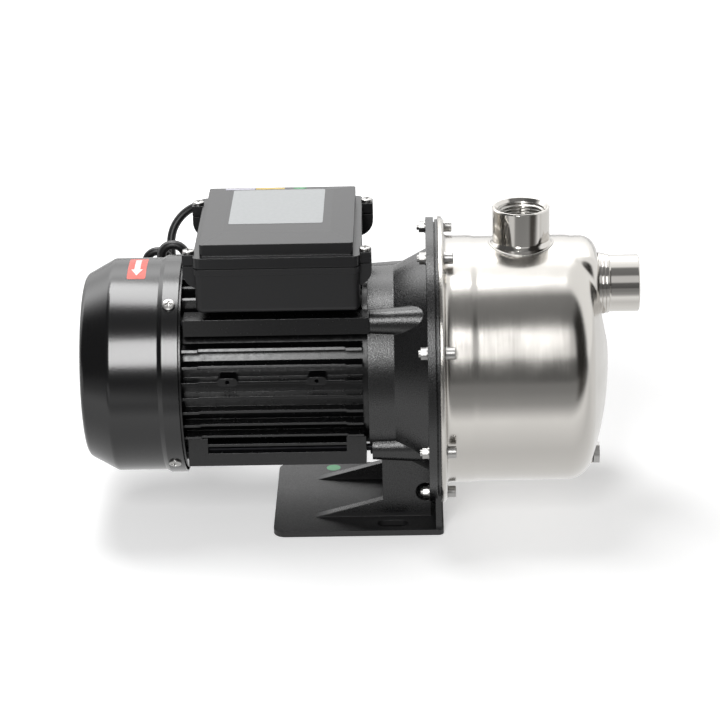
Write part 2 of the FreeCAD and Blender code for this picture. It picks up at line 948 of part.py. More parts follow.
def rounded_block(half_length, half_width, low, high, radius):
    """Upright block on the box centre with rounded vertical corners."""
    shape = block(
        (box_centre_x - half_length, box_centre_x + half_length),
        (-half_width, half_width),
        (low, high),
    )
    corners = [edge for edge in shape.Edges if edge.BoundBox.ZLength > (high - low) / 2]
    return shape.makeFillet(radius, corners)


def ear_outline(low, round_from):
    """Side view of an ear: upright outside, curved in to the wall at its foot."""
    inner = box_half_length - 1.0
    lower = Part.makePolygon([
        Vector(inner, 0, low), Vector(inner, 0, lid_skirt_top_z),
        Vector(ear_reach, 0, lid_skirt_top_z), Vector(ear_reach, 0, round_from),
    ])
    bend = Part.Arc(
        Vector(ear_reach, 0, round_from),
        Vector(ear_reach - 0.28 * (ear_reach - inner), 0, low + 0.38 * (round_from - low)),
        Vector(inner, 0, low),
    ).toShape()
    return Part.Wire(lower.Edges + [bend])


def ears(low_z, high_z):
    """The four screw ears between two heights."""
    shape = Part.Face(ear_outline(ear_bottom_z, ear_round_z))
    shape = shape.extrude(Vector(0, 2 * ear_half_width, 0))
    slab = block((0, ear_reach + 1), (-1, 2 * ear_half_width + 1), (low_z, high_z))
    shape = shape.common(slab)
    pieces = []
    for end in (-1, 1):
        for side in (-1, 1):
            piece = shape.copy()
            if end < 0:
                piece = piece.mirror(Vector(0, 0, 0), Vector(1, 0, 0))
            piece.translate(Vector(box_centre_x, side * ear_screw_y - ear_half_width, 0))
            pieces.append(piece)
    return pieces


def ear_screw_places():
    return [
        (box_centre_x + end * ear_screw_x, side * ear_screw_y) for end in (-1, 1) for side in (-1, 1)
    ]


def terminal_box():
    outer = rounded_block(box_half_length, box_half_width, box_bottom_z, box_top_z, box_rounding)
    low_edges = []
    for edge in outer.Edges:
        if edge.BoundBox.ZMax < box_bottom_z + 0.1:
            low_edges.append(edge)
    outer = outer.makeFillet(box_rounding - 0.5, low_edges)
    inner = rounded_block(
        box_half_length - box_wall, box_half_width - box_wall,
        box_bottom_z + box_wall, box_top_z + 1, box_rounding - box_wall,
    )
    lip = rounded_block(
        box_half_length + lid_skirt_proud, box_half_width + lid_skirt_proud,
        box_top_z - box_lip_height, box_top_z, box_rounding,
    )
    box = join([outer, lip] + ears(ear_bottom_z, box_top_z))
    box = box.cut(inner)
    wires = block(
        (box_centre_x - wire_hole_length / 2, box_centre_x + wire_hole_length / 2),
        (-wire_hole_width / 2, wire_hole_width / 2),
        (box_bottom_z - 1, box_bottom_z + box_wall + 1),
    )
    box = box.cut(wires)
    box = box.cut(bar_y(gland_thread_r + 0.2, box_half_width - 6, box_half_width + 1, gland_x, gland_z))
    for place in box_screw_places():
        box = box.cut(bar_z(lid_screw_r + 0.2, box_bottom_z - 1, box_bottom_z + box_wall + 1, *place))
    for place in ear_screw_places():
        box = box.cut(bar_z(lid_screw_r + 0.05, box_top_z - 9.0, box_top_z + 1, *place))
    return box


def lid_gasket():
    outer = rounded_block(
        box_half_length, box_half_width, box_top_z, box_top_z + gasket_thickness, box_rounding,
    )
    inner = rounded_block(
        box_half_length - gasket_width, box_half_width - gasket_width,
        box_top_z - 1, box_top_z + gasket_thickness + 1, box_rounding - gasket_width,
    )
    return outer.cut(inner)


def lid_form(inset):
    """Skirt, raised block and bevelled crown of the lid, or its inside when inset."""
    skirt = rounded_block(
        box_half_length + lid_skirt_proud - inset, box_half_width + lid_skirt_proud - inset,
        lid_low_z() - (1 if inset else 0), lid_skirt_top_z - inset, box_rounding - inset / 2,
    )
    raised = rounded_block(
        lid_block_half_length - inset, lid_block_half_width - inset,
        lid_skirt_top_z - inset - 0.5, lid_edge_z - inset / 2, 2.0,
    )
    low = crown_ring(0.6 + inset, lid_edge_z - inset / 2)
    high = crown_ring(lid_bevel + inset, lid_top_z - inset)
    crown = Part.makeLoft([low, high], True, True)
    return join([skirt, raised, crown])


def crown_ring(inset, z):
    half_x = lid_block_half_length - inset
    half_y = lid_block_half_width - inset
    corners = [(-1, -1), (1, -1), (1, 1), (-1, 1), (-1, -1)]
    return Part.makePolygon([Vector(box_centre_x + sx * half_x, sy * half_y, z) for sx, sy in corners])


def lid_low_z():
    return box_top_z + gasket_thickness


def terminal_box_lid():
    lid = lid_form(0.0).cut(lid_form(lid_wall))
    lid = join([lid] + ears(lid_low_z(), lid_skirt_top_z))
    inside = rounded_block(
        box_half_length - lid_wall, box_half_width - lid_wall,
        lid_low_z() - 1, lid_skirt_top_z - lid_wall, 2.0,
    )
    lid = lid.cut(inside)
    for place in ear_screw_places():
        lid = lid.cut(bar_z(lid_screw_r + 0.2, lid_low_z() - 1, lid_skirt_top_z + 1, *place))
    return lid


def lid_screws():
    screws = []
    for place in ear_screw_places():
        head = bar_z(lid_screw_head_r, lid_skirt_top_z, lid_skirt_top_z + lid_screw_head, *place)
        head = head.makeChamfer(1.0, [head.Edges[0]])
        thread = bar_z(lid_screw_r, lid_skirt_top_z - lid_screw_length, lid_skirt_top_z + 0.2, *place)
        screws.append(join([head, thread]))
    return screws


def box_screws():
    screws = []
    seat = box_bottom_z + box_wall
    for place in box_screw_places():
        head = bar_z(lid_screw_head_r, seat, seat + lid_screw_head, *place)
        thread = bar_z(lid_screw_r - 0.15, seat - box_wall - 8.0, seat + 0.2, *place)
        screws.append(join([head, thread]))
    return screws


def terminal_places():
    """Y of each terminal in the strip."""
    return [terminal_pitch * (step - (terminal_count - 1) / 2) for step in range(terminal_count)]


def terminal_block():
    """Row of brass terminals in an insulating strip on the floor of the box."""
    floor = box_bottom_z + box_wall
    top = floor + strip_height
    strip = block(
        (terminal_x - strip_width / 2, terminal_x + strip_width / 2),
        (-strip_length / 2, strip_length / 2),
        (floor, top),
    )
    for y in terminal_places():
        strip = strip.cut(bar_z(terminal_hole_r, floor + terminal_hole_floor, top + 1, terminal_x, y))
    return strip


def terminal_screws():
    low = box_bottom_z + box_wall + terminal_hole_floor
    high = low + terminal_screw_length
    return [bar_z(terminal_screw_r, low, high, terminal_x, y) for y in terminal_places()]


def capacitor():
    """Run capacitor lying across the box on its floor, with two flat tabs."""
    z = box_bottom_z + box_wall + capacitor_r
    end_y = capacitor_start_y + capacitor_length
    can = bar_y(capacitor_r, capacitor_start_y, end_y, capacitor_x, z)
    can = can.makeFillet(
        capacitor_rounding, [edge for edge in can.Edges if edge.BoundBox.YMin < capacitor_start_y + 0.1],
    )
    tabs = [
        block(
            (capacitor_x + shift, capacitor_x + shift + 1.0),
            (end_y - 0.5, end_y + capacitor_tab_length),
            (z - capacitor_tab_width / 2, z + capacitor_tab_width / 2),
        )
        for shift in capacitor_tab_x
    ]
    return join([can] + tabs)


def cable_gland():
    """Screwed gland through the far wall: hexagon, clamping cap and inner nut."""
    wall_outer = box_half_width
    reach = gland_flats / math.sqrt(3.0)
    corners = []
    for step in range(7):
        angle = math.radians(60.0 * step)
        corners.append(Vector(
            gland_x + reach * math.cos(angle), wall_outer, gland_z + reach * math.sin(angle),
        ))
    hexagon = Part.Face(Part.makePolygon(corners)).extrude(Vector(0, gland_hex_length, 0))
    cap_start = wall_outer + gland_hex_length
    cap = bar_y(gland_cap_r, cap_start, cap_start + gland_cap_length, gland_x, gland_z)
    end_edges = [edge for edge in cap.Edges if edge.BoundBox.YMin > cap_start + gland_cap_length - 0.1]
    cap = cap.makeFillet(gland_cap_rounding, end_edges)
    thread = bar_y(gland_thread_r, wall_outer - box_wall - 8.0, wall_outer + 1, gland_x, gland_z)
    relief_start = cap_start + gland_cap_length - 1.0
    relief = Part.makeCone(
        gland_relief_start_r, gland_relief_end_r, gland_relief_end_y - relief_start,
        Vector(gland_x, relief_start, gland_z), Vector(0, 1, 0),
    )
    gland = join([hexagon, cap, thread, relief])
    return gland.cut(bar_y(cord_r, wall_outer - 20, wall_outer + 40, gland_x, gland_z))


def gland_nut():
    inner_wall = box_half_width - box_wall
    nut = bar_y(gland_thread_r + 3.0, inner_wall - gland_nut_length, inner_wall, gland_x, gland_z)
    return nut.cut(bar_y(gland_thread_r, inner_wall - 10, inner_wall + 1, gland_x, gland_z))


# Mains cord

def tangent_path(points):
    """Straight runs joined by tangent arcs, each as large as its two runs allow."""
    nodes = [Vector(*point) for point in points]
    edges = []
    start = nodes[0]
    radii = []
    for before, here, after in zip(nodes, nodes[1:], nodes[2:]):
        back = before - here
        onward = after - here
        shorter = min(back.Length, onward.Length)
        back.normalize()
        onward.normalize()
        turn = math.pi - back.getAngle(onward)
        cut = 0.45 * shorter
        first = here + back * cut
        last = here + onward * cut
        radius = cut / math.tan(turn / 2)
        middle = here + (back + onward).normalize() * (radius / math.cos(turn / 2) - radius)
        radii.append(round(radius, 1))
        edges.append(Part.LineSegment(start, first).toShape())
        edges.append(Part.Arc(first, middle, last).toShape())
        start = last
    edges.append(Part.LineSegment(start, nodes[-1]).toShape())
    return Part.Wire(edges), radii


def cord_tube(name, points):
    path, radii = tangent_path(points)
    way = Vector(*points[1]) - Vector(*points[0])
    ring = Part.Wire([Part.makeCircle(cord_r, Vector(*points[0]), way)])
    tube = path.makePipeShell([ring], True, False)
    print(name, "radii", radii, "length", round(path.Length, 1),
          "volume check", round(tube.Volume / (math.pi * cord_r ** 2 * path.Length), 4))
    return tube


def cord_hank():
    """Outer shape of the folded cord that stands behind the fan cover, tied at its waist."""
    curve = Part.BSplineCurve()
    curve.interpolate(Points=[Vector(x, hank_near_y, z) for x, z in hank_outline], PeriodicFlag=True)
    face = Part.Face(Part.Wire([curve.toShape()]))
    shape = face.extrude(Vector(0, hank_far_y - hank_near_y, 0))
    width = [x for x, z in hank_outline]
    above_floor = block(
        (min(width) - cord_r, max(width) + cord_r), (hank_near_y, hank_far_y), (0, hank_top_z),
    )
    return shape.common(above_floor)


def plug():
    """Round two-pin mains plug with a bend-relief neck."""
    start = Vector(*tail_points[-1])
    way = Vector(1, 0, 0)
    neck = Part.makeCone(plug_neck_r - 1.6, plug_neck_r + 1.5, plug_neck_length, start, way)
    body_start = start + way * plug_neck_length
    body = Part.makeCylinder(plug_r, plug_length, body_start, way)
    rear = [edge for edge in body.Edges if edge.BoundBox.XMax < body_start.x + 0.1]
    body = body.makeFillet(plug_shoulder, rear)
    front = [edge for edge in body.Edges if edge.BoundBox.XMin > body_start.x + plug_length - 0.1]
    body = body.makeFillet(plug_nose, front)
    return join([neck, body])


def plug_pins():
    start = Vector(*tail_points[-1])
    face = start.x + plug_neck_length + plug_length
    pins = []
    for side in (-1, 1):
        pin = bar_x(plug_pin_r, face, face + plug_pin_length, start.y + side * plug_pin_pitch / 2, start.z)
        tip = [edge for edge in pin.Edges if edge.BoundBox.XMin > face + plug_pin_length - 0.1]
        pins.append(pin.makeFillet(1.2, tip))
    return pins


# Pump end

def casing_form(inset):
    """Body of the pressed tank, or its inside when inset by the wall."""
    start = joint_face + (0 if inset == 0 else -1)
    neck = casing_neck_r - inset
    main = casing_r - inset
    step_end = casing_neck_end + casing_step
    end = casing_end_x - inset
    radius = dome_radius - inset
    drop = radius - math.sqrt(radius ** 2 - main ** 2)
    middle_r = main / 2
    middle_x = end - (radius - math.sqrt(radius ** 2 - middle_r ** 2))

    def at(x, r):
        return Vector(x, 0, shaft_height + r)

    edges = [
        Part.LineSegment(at(start, 0), at(start, neck)).toShape(),
        Part.LineSegment(at(start, neck), at(casing_neck_end, neck)).toShape(),
        Part.LineSegment(at(casing_neck_end, neck), at(step_end, main)).toShape(),
        Part.LineSegment(at(step_end, main), at(end - drop, main)).toShape(),
        Part.Arc(at(end - drop, main), at(middle_x, middle_r), at(end, 0)).toShape(),
        Part.LineSegment(at(end, 0), at(start, 0)).toShape(),
    ]
    solid = Part.Face(Part.Wire(edges)).revolve(Vector(0, 0, shaft_height), Vector(1, 0, 0), 360)
    corner = []
    for edge in solid.Edges:
        box = edge.BoundBox
        if abs(box.XMin - (end - drop)) < 0.01 and box.XLength < 0.01:
            corner.append(edge)
    return solid.makeFillet(casing_corner - inset, corner)


def suction_pad(inset):
    """Raised seat of the suction port, which carries the tank's outline on to its flat face."""
    face = pad_face_x - inset
    back = face - pad_depth
    outline = bar_x(casing_r - inset - pad_drop, back, face)
    pad = bar_x(pad_r - inset, back, face, 0.0, suction_z).common(outline)
    shoulders = []
    for edge in pad.Edges:
        box = edge.BoundBox
        if box.XLength > pad_depth - 1 and abs(box.Center.y) > 5.0 and box.Center.z > suction_z:
            shoulders.append(edge)
    pad = pad.makeFillet(pad_shoulder, shoulders)
    rim = [edge for edge in pad.Edges if edge.BoundBox.XMin > face - 0.1]
    return pad.makeFillet(pad_rounding - inset, rim)


def crease_angle(shape, edge):
    """Angle in degrees between the two faces that meet at an edge, at its middle."""
    middle = edge.valueAt((edge.FirstParameter + edge.LastParameter) / 2)
    normals = []
    for face in shape.Faces:
        if any(other.isSame(edge) for other in face.Edges):
            normals.append(face.normalAt(*face.Surface.parameter(middle)))
    if len(normals) < 2:
        return 0.0
    return math.degrees(normals[0].getAngle(normals[1]))


def suction_dish(inset):
    """What is pressed in from the dome round the suction port: flat in the middle, curved up to the dome."""
    face = pad_face_x - inset
    far = face + 3 * pad_dish_depth
    span = pad_dish_r - pad_flat_r
    middle = Vector(face + pad_dish_depth / 4, 0, suction_z + pad_flat_r + span / 2)
    start = Vector(face, 0, suction_z + pad_flat_r)
    rise = Vector(face + pad_dish_depth, 0, suction_z + pad_dish_r)
    edges = [
        Part.LineSegment(Vector(face, 0, suction_z), start).toShape(),
        Part.Arc(start, middle, rise).toShape(),
        Part.LineSegment(rise, Vector(far, 0, suction_z + pad_dish_r)).toShape(),
        Part.LineSegment(Vector(far, 0, suction_z + pad_dish_r), Vector(far, 0, suction_z)).toShape(),
        Part.LineSegment(Vector(far, 0, suction_z), Vector(face, 0, suction_z)).toShape(),
    ]
    return Part.Face(Part.Wire(edges)).revolve(Vector(0, 0, suction_z), Vector(1, 0, 0), 360)


def tank_form(inset):
    """Outside of the pressed tank with its suction seat, or its inside when inset by the wall."""
    tank = join([casing_form(inset), suction_pad(inset)])
    creases = []
    for edge in tank.Edges:
        if edge.BoundBox.XMin > discharge_x and edge.Length > 0.1 and crease_angle(tank, edge) > 6.0:
            creases.append(edge)
    return tank.makeFillet(pad_blend, creases).cut(suction_dish(inset))


def pump_casing():
    face = joint_face + casing_flange_thickness
    flange = turned([
        (joint_face, 0),
        (joint_face, casing_flange_r - 0.6),
        (joint_face + 0.6, casing_flange_r),
        (face - 1.6, casing_flange_r),
        (face, casing_flange_r - 2.4),
        (face, casing_neck_r + casing_neck_spread),
        (face + 0.2 * casing_neck_fillet, casing_neck_r + 0.45 * casing_neck_spread),
        (face + 0.5 * casing_neck_fillet, casing_neck_r + 0.12 * casing_neck_spread),
        (face + casing_neck_fillet, casing_neck_r),
        (face + casing_neck_fillet, 0),
    ])
    outer = join([tank_form(0.0), flange])
    shell = outer.cut(tank_form(casing_wall))
    shell = shell.cut(bar_x(casing_neck_r + 0.6, joint_face - 1, joint_face + 2 * o_ring_r))
    for hole in at_flange_bolts(bar_x(bolt_r + bolt_clearance, joint_face - 1, joint_face + 8)):
        shell = shell.cut(hole)
    shell = shell.cut(bar_z(port_bore_r, shaft_height + casing_r - 20, discharge_top_z, discharge_x, 0.0))
    shell = shell.cut(bar_x(port_bore_r, pad_face_x - 12, pad_face_x + 12, 0.0, suction_z))
    shell = shell.cut(bar_x(drain_thread_r, drain_end_x - 40, drain_end_x, 0.0, drain_z))
    return shell


def port_section(radius, length, collar):
    """Half section of a threaded port, as (radius, height) points from its foot."""
    return [
        (port_bore_r, 0.0),
        (port_collar_r, 0.0),
        (port_collar_r, collar * 0.45),
        (radius + 0.4, collar),
        (radius, collar + 0.8),
        (radius, length - 0.8),
        (radius - 0.8, length),
        (port_mouth_r, length),
        (port_bore_r, length - port_mouth_depth),
    ]


def discharge_port():
    low = shaft_height + casing_r - 8.0
    base = shaft_height + casing_r - 1.2
    length = discharge_top_z - base
    section = port_section(port_r, length, discharge_collar)
    section[0] = (port_bore_r, low - base)
    section[1] = (port_collar_r, low - base)
    corners = [Vector(discharge_x + radius, 0, base + height) for radius, height in section]
    face = Part.Face(Part.makePolygon(corners + corners[:1]))
    port = face.revolve(Vector(discharge_x, 0, 0), Vector(0, 0, 1), 360)
    return port.cut(bar_x(casing_r, discharge_x - 40, discharge_x + 40))


def suction_port():
    """Level socket with its stepped weld collar."""
    radius = port_r - 0.1
    length = suction_end_x - pad_face_x
    ring = suction_collar / suction_collar_rings
    section = [(port_bore_r, 0.0)]
    for step in range(suction_collar_rings):
        crest = suction_collar_r - suction_collar_taper * step
        section.append((crest, ring * step))
        section.append((crest, ring * (step + 0.72)))
        section.append((crest - suction_collar_step, ring * (step + 0.86)))
    section += [
        (radius, suction_collar + 0.4),
        (radius, length - 0.8),
        (radius - 0.8, length),
        (port_mouth_r, length),
        (port_bore_r, length - port_mouth_depth),
    ]
    corners = [Vector(pad_face_x + height, 0, suction_z + radius) for radius, height in section]
    face = Part.Face(Part.makePolygon(corners + corners[:1]))
    return face.revolve(Vector(0, 0, suction_z), Vector(1, 0, 0), 360)


def drain_seat_x():
    return drain_end_x - drain_head - drain_washer_thickness


def drain_boss():
    """Welded boss that carries the drain plug square to the dome."""
    boss = bar_x(drain_washer_r + 0.6, casing_end_x - 60, drain_seat_x(), 0.0, drain_z)
    boss = boss.cut(casing_form(0.0))
    return boss.cut(bar_x(drain_thread_r, casing_end_x - 60, casing_end_x + 20, 0.0, drain_z))


def drain_plug():
    head = hexagon_x(drain_flats, drain_end_x - drain_head, drain_end_x, 0.0, drain_z)
    rim = drain_flats / math.sqrt(3.0) - corner_round
    ends = bar_x(rim, drain_end_x - drain_head, drain_end_x, 0.0, drain_z)
    thread = bar_x(
        drain_thread_r - 0.1, drain_seat_x() - drain_thread_length, drain_end_x - drain_head + 0.5,
        0.0, drain_z,
    )
    return join([head.common(ends), thread])


def drain_washer():
    ring = bar_x(drain_washer_r, drain_seat_x(), drain_seat_x() + drain_washer_thickness, 0.0, drain_z)
    return ring.cut(bar_x(drain_thread_r, drain_seat_x() - 1, drain_end_x, 0.0, drain_z))


def flange_bolts():
    head_seat = joint_face + casing_flange_thickness + washer_thickness
    end = bracket_flange_x - washer_thickness - nut_height - bolt_end_proud
    head = bar_x(bolt_head_r, head_seat, head_seat + bolt_head_height)
    top = [edge for edge in head.Edges if edge.BoundBox.XMin > head_seat + bolt_head_height - 0.1]
    head = head.makeChamfer(0.4, top)
    socket = hexagon_x(
        bolt_socket_flats, head_seat + bolt_head_height - 2.6, head_seat + bolt_head_height + 1,
    )
    bolt = join([head.cut(socket), bar_x(bolt_r, end, head_seat + 0.5)])
    return at_flange_bolts(bolt)


def flange_nuts():
    end = bracket_flange_x - washer_thickness
    nut = hexagon_x(nut_flats, end - nut_height, end)
    rim = nut_flats / math.sqrt(3.0) - corner_round
    nut = nut.common(bar_x(rim, end - nut_height, end)).cut(bar_x(bolt_r, end - 20, end + 1))
    return at_flange_bolts(nut)


def flange_washers():
    pairs = []
    head_side = joint_face + casing_flange_thickness
    for start in (bracket_flange_x - washer_thickness, head_side):
        ring = bar_x(washer_r, start, start + washer_thickness)
        ring = ring.cut(bar_x(bolt_r, start - 1, start + washer_thickness + 1))
        pairs.extend(at_flange_bolts(ring))
    return pairs


def seal_plate():
    """Stainless disc that closes the casing and carries the fixed half of the seal."""
    front = joint_face
    back = joint_face - seal_plate_thickness
    cup = seal_seat_r + 2.0
    depth = seal_seat_length + 1.5
    return turned([
        (front, seal_plate_r),
        (back, seal_plate_r),
        (back, cup),
        (back - depth, cup),
        (back - depth, shaft_pump_r + 2.5),
        (back - depth + 1.5, shaft_pump_r + 2.5),
        (back - depth + 1.5, seal_seat_r),
        (front, seal_seat_r),
    ])


def seal_seat():
    start = joint_face - seal_plate_thickness - seal_seat_length
    return turned([
        (start, shaft_pump_r + 0.9),
        (start, seal_seat_r),
        (start + seal_seat_length, seal_seat_r),
        (start + seal_seat_length, shaft_pump_r + 0.9),
    ])


def seal_rotor():
    """Turning half of the seal: carbon face, bellows and spring in one sleeve."""
    start = joint_face - seal_plate_thickness + running_gap
    return turned([
        (start, shaft_pump_r),
        (start, seal_body_r - 1.5),
        (start + 3.0, seal_body_r - 1.5),
        (start + 3.0, seal_body_r),
        (seal_body_end_x, seal_body_r),
        (seal_body_end_x, shaft_pump_r),
    ])


def water_slinger():
    """Rubber ring on the shaft behind the seal plate."""
    start = front_bearing_x + front_bearing_width + 3.0
    return turned([
        (start, shaft_pump_r),
        (start, shaft_pump_r + 3.0),
        (start + 1.5, shaft_pump_r + 9.0),
        (start + 3.0, shaft_pump_r + 9.0),
        (start + 3.5, shaft_pump_r + 3.0),
        (start + 6.0, shaft_pump_r + 3.0),
        (start + 6.0, shaft_pump_r),
    ])


def casing_o_ring():
    """Round cord ring squeezed between the casing's mouth and the seal plate."""
    centre = Vector(joint_face + o_ring_r, 0, shaft_height)
    return Part.makeTorus(casing_neck_r + 0.6 - o_ring_r, o_ring_r - fit_gap, centre, Vector(1, 0, 0))


def impeller_front_x():
    return impeller_back_x + impeller_plate + impeller_width


def impeller():
    """Closed impeller: hub, back plate, backswept blades and front plate with its eye."""
    back = impeller_back_x
    plate_end = back + impeller_plate
    front = plate_end + impeller_width
    hub = turned([
        (seal_body_end_x, shaft_pump_r),
        (seal_body_end_x, impeller_hub_r),
        (plate_end, impeller_hub_r),
        (front, impeller_hub_r - 1.0),
        (front, shaft_pump_r),
    ])
    back_plate = turned([
        (back, shaft_pump_r), (back, impeller_r), (plate_end, impeller_r), (plate_end, shaft_pump_r),
    ])
    front_plate = turned([
        (front, impeller_eye_r + 1.0),
        (front, impeller_r),
        (front + impeller_plate, impeller_r),
        (front + impeller_plate, impeller_eye_r + 3.0),
        (front + impeller_plate + 5.0, impeller_eye_r + 3.0),
        (front + impeller_plate + 5.0, impeller_eye_r),
        (front + 1.0, impeller_eye_r),
    ])
    blades = []
    for step in range(impeller_blades):
        blade = swept_blade(impeller_eye_r - 1.0, impeller_r - 0.5, impeller_blade, 75.0)
        blade.translate(Vector(plate_end - 0.4, 0, 0))
        blades.append(around_shaft(blade, 360.0 * step / impeller_blades))
    return join([hub, back_plate, front_plate] + blades)


def swept_blade(inner, outer, thickness, sweep, width=None):
    """Curved blade from the inner to the outer radius, swept back by an angle."""
    width = impeller_width + 0.8 if width is None else width

    def spot(radius, angle):
        turn = math.radians(angle)
        return Vector(0, radius * math.sin(turn), shaft_height + radius * math.cos(turn))

    middle = (inner + outer) / 2
    offset = math.degrees(thickness / middle)
    front = Part.Arc(
        spot(inner, 0.0), spot(middle, sweep * 0.62), spot(outer, sweep),
    ).toShape()
    back = Part.Arc(
        spot(outer, sweep + offset * 0.6), spot(middle, sweep * 0.62 + offset), spot(inner, offset * 1.6),
    ).toShape()
    tip = Part.LineSegment(spot(outer, sweep), spot(outer, sweep + offset * 0.6)).toShape()
    root = Part.LineSegment(spot(inner, offset * 1.6), spot(inner, 0.0)).toShape()
    return Part.Face(Part.Wire([front, tip, back, root])).extrude(Vector(width, 0, 0))


def impeller_nut():
    start = impeller_front_x()
    nut = hexagon_x(impeller_nut_flats, start, start + impeller_nut_length)
    return nut.cut(bar_x(shaft_pump_r - 1.5, start - 1, start + impeller_nut_length + 1))


def diffuser():
    """Moulded diffuser: wall in front of the impeller, guide vanes and a neck for the ejector."""
    front = impeller_front_x() + impeller_plate + diffuser_gap
    neck_r = impeller_eye_r + 3.0 + 0.5
    body = turned([
        (front, neck_r),
        (front, diffuser_r),
        (front + diffuser_wall, diffuser_r),
        (front + diffuser_wall, neck_r + diffuser_wall),
        (front + 10.0, neck_r + diffuser_wall),
        (front + 10.0, neck_r),
    ])
    vane_back = joint_face + 0.2
    vane_width = front - vane_back + 0.5
    vanes = []
    for step in range(diffuser_vanes):
        vane = swept_blade(impeller_r + 3.0, diffuser_r - 0.5, 2.4, 42.0, vane_width)
        vane.translate(Vector(vane_back, 0, 0))
        vanes.append(around_shaft(vane, 360.0 * step / diffuser_vanes))
    return join([body] + vanes)


def ejector():
    """Venturi tube on the shaft's line and the chamber that takes water from the suction port."""
    start = impeller_front_x() + impeller_plate + diffuser_gap + 10.0
    throat = ejector_throat_r
    tube = turned([
        (start, ejector_r - ejector_wall),
        (start, ejector_r),
        (start + 6.0, ejector_r),
        (start + 40.0, throat + ejector_wall),
        (ejector_front_x + 1, throat + ejector_wall),
        (ejector_front_x + 1, throat),
        (start + 42.0, throat),
    ])
    lower = bar_x(chamber_r, ejector_front_x, chamber_end_x)
    upper = bar_x(chamber_r, ejector_front_x, chamber_end_x, 0.0, suction_z)
    middle = block(
        (ejector_front_x, chamber_end_x), (-chamber_r, chamber_r), (shaft_height, suction_z),
    )
    outer = join([lower, upper, middle])
    inner_r = chamber_r - ejector_wall
    low = ejector_front_x + ejector_wall
    high = chamber_end_x - ejector_wall
    inner = join([
        bar_x(inner_r, low, high),
        bar_x(inner_r, low, high, 0.0, suction_z),
        block((low, high), (-inner_r, inner_r), (shaft_height, suction_z)),
    ])
    chamber = outer.cut(inner)
    chamber = chamber.cut(bar_x(throat, ejector_front_x - 1, low + 1))
    chamber = chamber.cut(bar_x(chamber_inlet_r, high - 1, chamber_end_x + 1, 0.0, suction_z))
    chamber = chamber.cut(bar_x(nozzle_r, high - 1, chamber_end_x + 1))
    return join([tube, chamber])


def jet_nozzle():
    """Tapered nozzle pressed into the ejector chamber, aimed into the venturi tube."""
    back = chamber_end_x
    tip = back - nozzle_length
    return turned([
        (back, nozzle_r - 1.5),
        (back, nozzle_r),
        (back - ejector_wall, nozzle_r),
        (tip, nozzle_r - 2.0),
        (tip, nozzle_r - 3.4),
    ])


def build():
    os.makedirs("parts", exist_ok=True)
    front_outer, front_inner = bearing(
        front_bearing_x, front_bearing_width, front_bearing_bore_r, front_bearing_r,
    )
    rear_outer, rear_inner = bearing(
        rear_bearing_x, rear_bearing_width, rear_bearing_bore_r, rear_bearing_r,
    )
    parts = {
        "motor_bracket": motor_bracket(),
        "stator_housing": stator_housing(),
        "stator_core": stator_core(),
        "stator_windings": stator_windings(),
        "rear_end_shield": rear_end_shield(),
        "tie_rods": tie_rods(),
        "rotor_core": rotor_core(),
        "shaft": shaft(),
        "front_bearing_outer": front_outer,
        "front_bearing_inner": front_inner,
        "rear_bearing_outer": rear_outer,
        "rear_bearing_inner": rear_inner,
        "cooling_fan": cooling_fan(),
        "fan_cover": fan_cover(),
        "fan_cover_screws": fan_cover_screws(),
        "terminal_box": terminal_box(),
        "box_screws": box_screws(),
        "lid_gasket": lid_gasket(),
        "terminal_box_lid": terminal_box_lid(),
        "lid_screws": lid_screws(),
        "terminal_block": terminal_block(),
        "terminal_screws": terminal_screws(),
        "capacitor": capacitor(),
        "cable_gland": cable_gland(),
        "gland_nut": gland_nut(),
        "power_cord": cord_tube("power_cord", lead_points),
        "cord_hank": cord_hank(),
        "cord_tail": cord_tube("cord_tail", tail_points),
        "plug": plug(),
        "plug_pins": plug_pins(),
        "pump_casing": pump_casing(),
        "discharge_port": discharge_port(),
        "suction_port": suction_port(),
        "drain_boss": drain_boss(),
        "drain_plug": drain_plug(),
        "drain_washer": drain_washer(),
        "flange_bolts": flange_bolts(),
        "flange_nuts": flange_nuts(),
        "flange_washers": flange_washers(),
        "seal_plate": seal_plate(),
        "seal_seat": seal_seat(),
        "seal_rotor": seal_rotor(),
        "water_slinger": water_slinger(),
        "casing_o_ring": casing_o_ring(),
        "impeller": impeller(),
        "impeller_nut": impeller_nut(),
        "diffuser": diffuser(),
        "ejector": ejector(),
        "jet_nozzle": jet_nozzle(),
    }
    for name, shape in parts.items():
        save(name, shape)


build()
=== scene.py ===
"""Finishes, mains cord, screws, threads and stage for the booster pump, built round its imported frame."""
import math

import bmesh
import bpy
from mathutils import Matrix, Vector


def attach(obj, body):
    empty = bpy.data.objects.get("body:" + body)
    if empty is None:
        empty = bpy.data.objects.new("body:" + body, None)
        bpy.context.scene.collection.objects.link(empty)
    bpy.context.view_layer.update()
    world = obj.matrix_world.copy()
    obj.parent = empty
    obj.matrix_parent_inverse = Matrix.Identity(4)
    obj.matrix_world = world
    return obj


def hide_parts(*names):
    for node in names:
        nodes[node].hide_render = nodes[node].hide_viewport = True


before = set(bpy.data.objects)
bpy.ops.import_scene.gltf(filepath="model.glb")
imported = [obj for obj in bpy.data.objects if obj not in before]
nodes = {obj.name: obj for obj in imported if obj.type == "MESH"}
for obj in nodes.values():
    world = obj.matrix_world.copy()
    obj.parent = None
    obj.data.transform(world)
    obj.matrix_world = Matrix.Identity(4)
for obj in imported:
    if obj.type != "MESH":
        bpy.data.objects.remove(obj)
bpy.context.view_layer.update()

bl_info = {
    "name": "Booster pump finish",
    "version": (1, 0, 0),
    "blender": (4, 5, 0),
    "location": "View3D > Sidebar > Pump",
    "description": "Finishes, mains cord and stage for a self-priming booster pump",
    "category": "Object",
}

MM = 0.001
SHAFT_Z = 0.1125

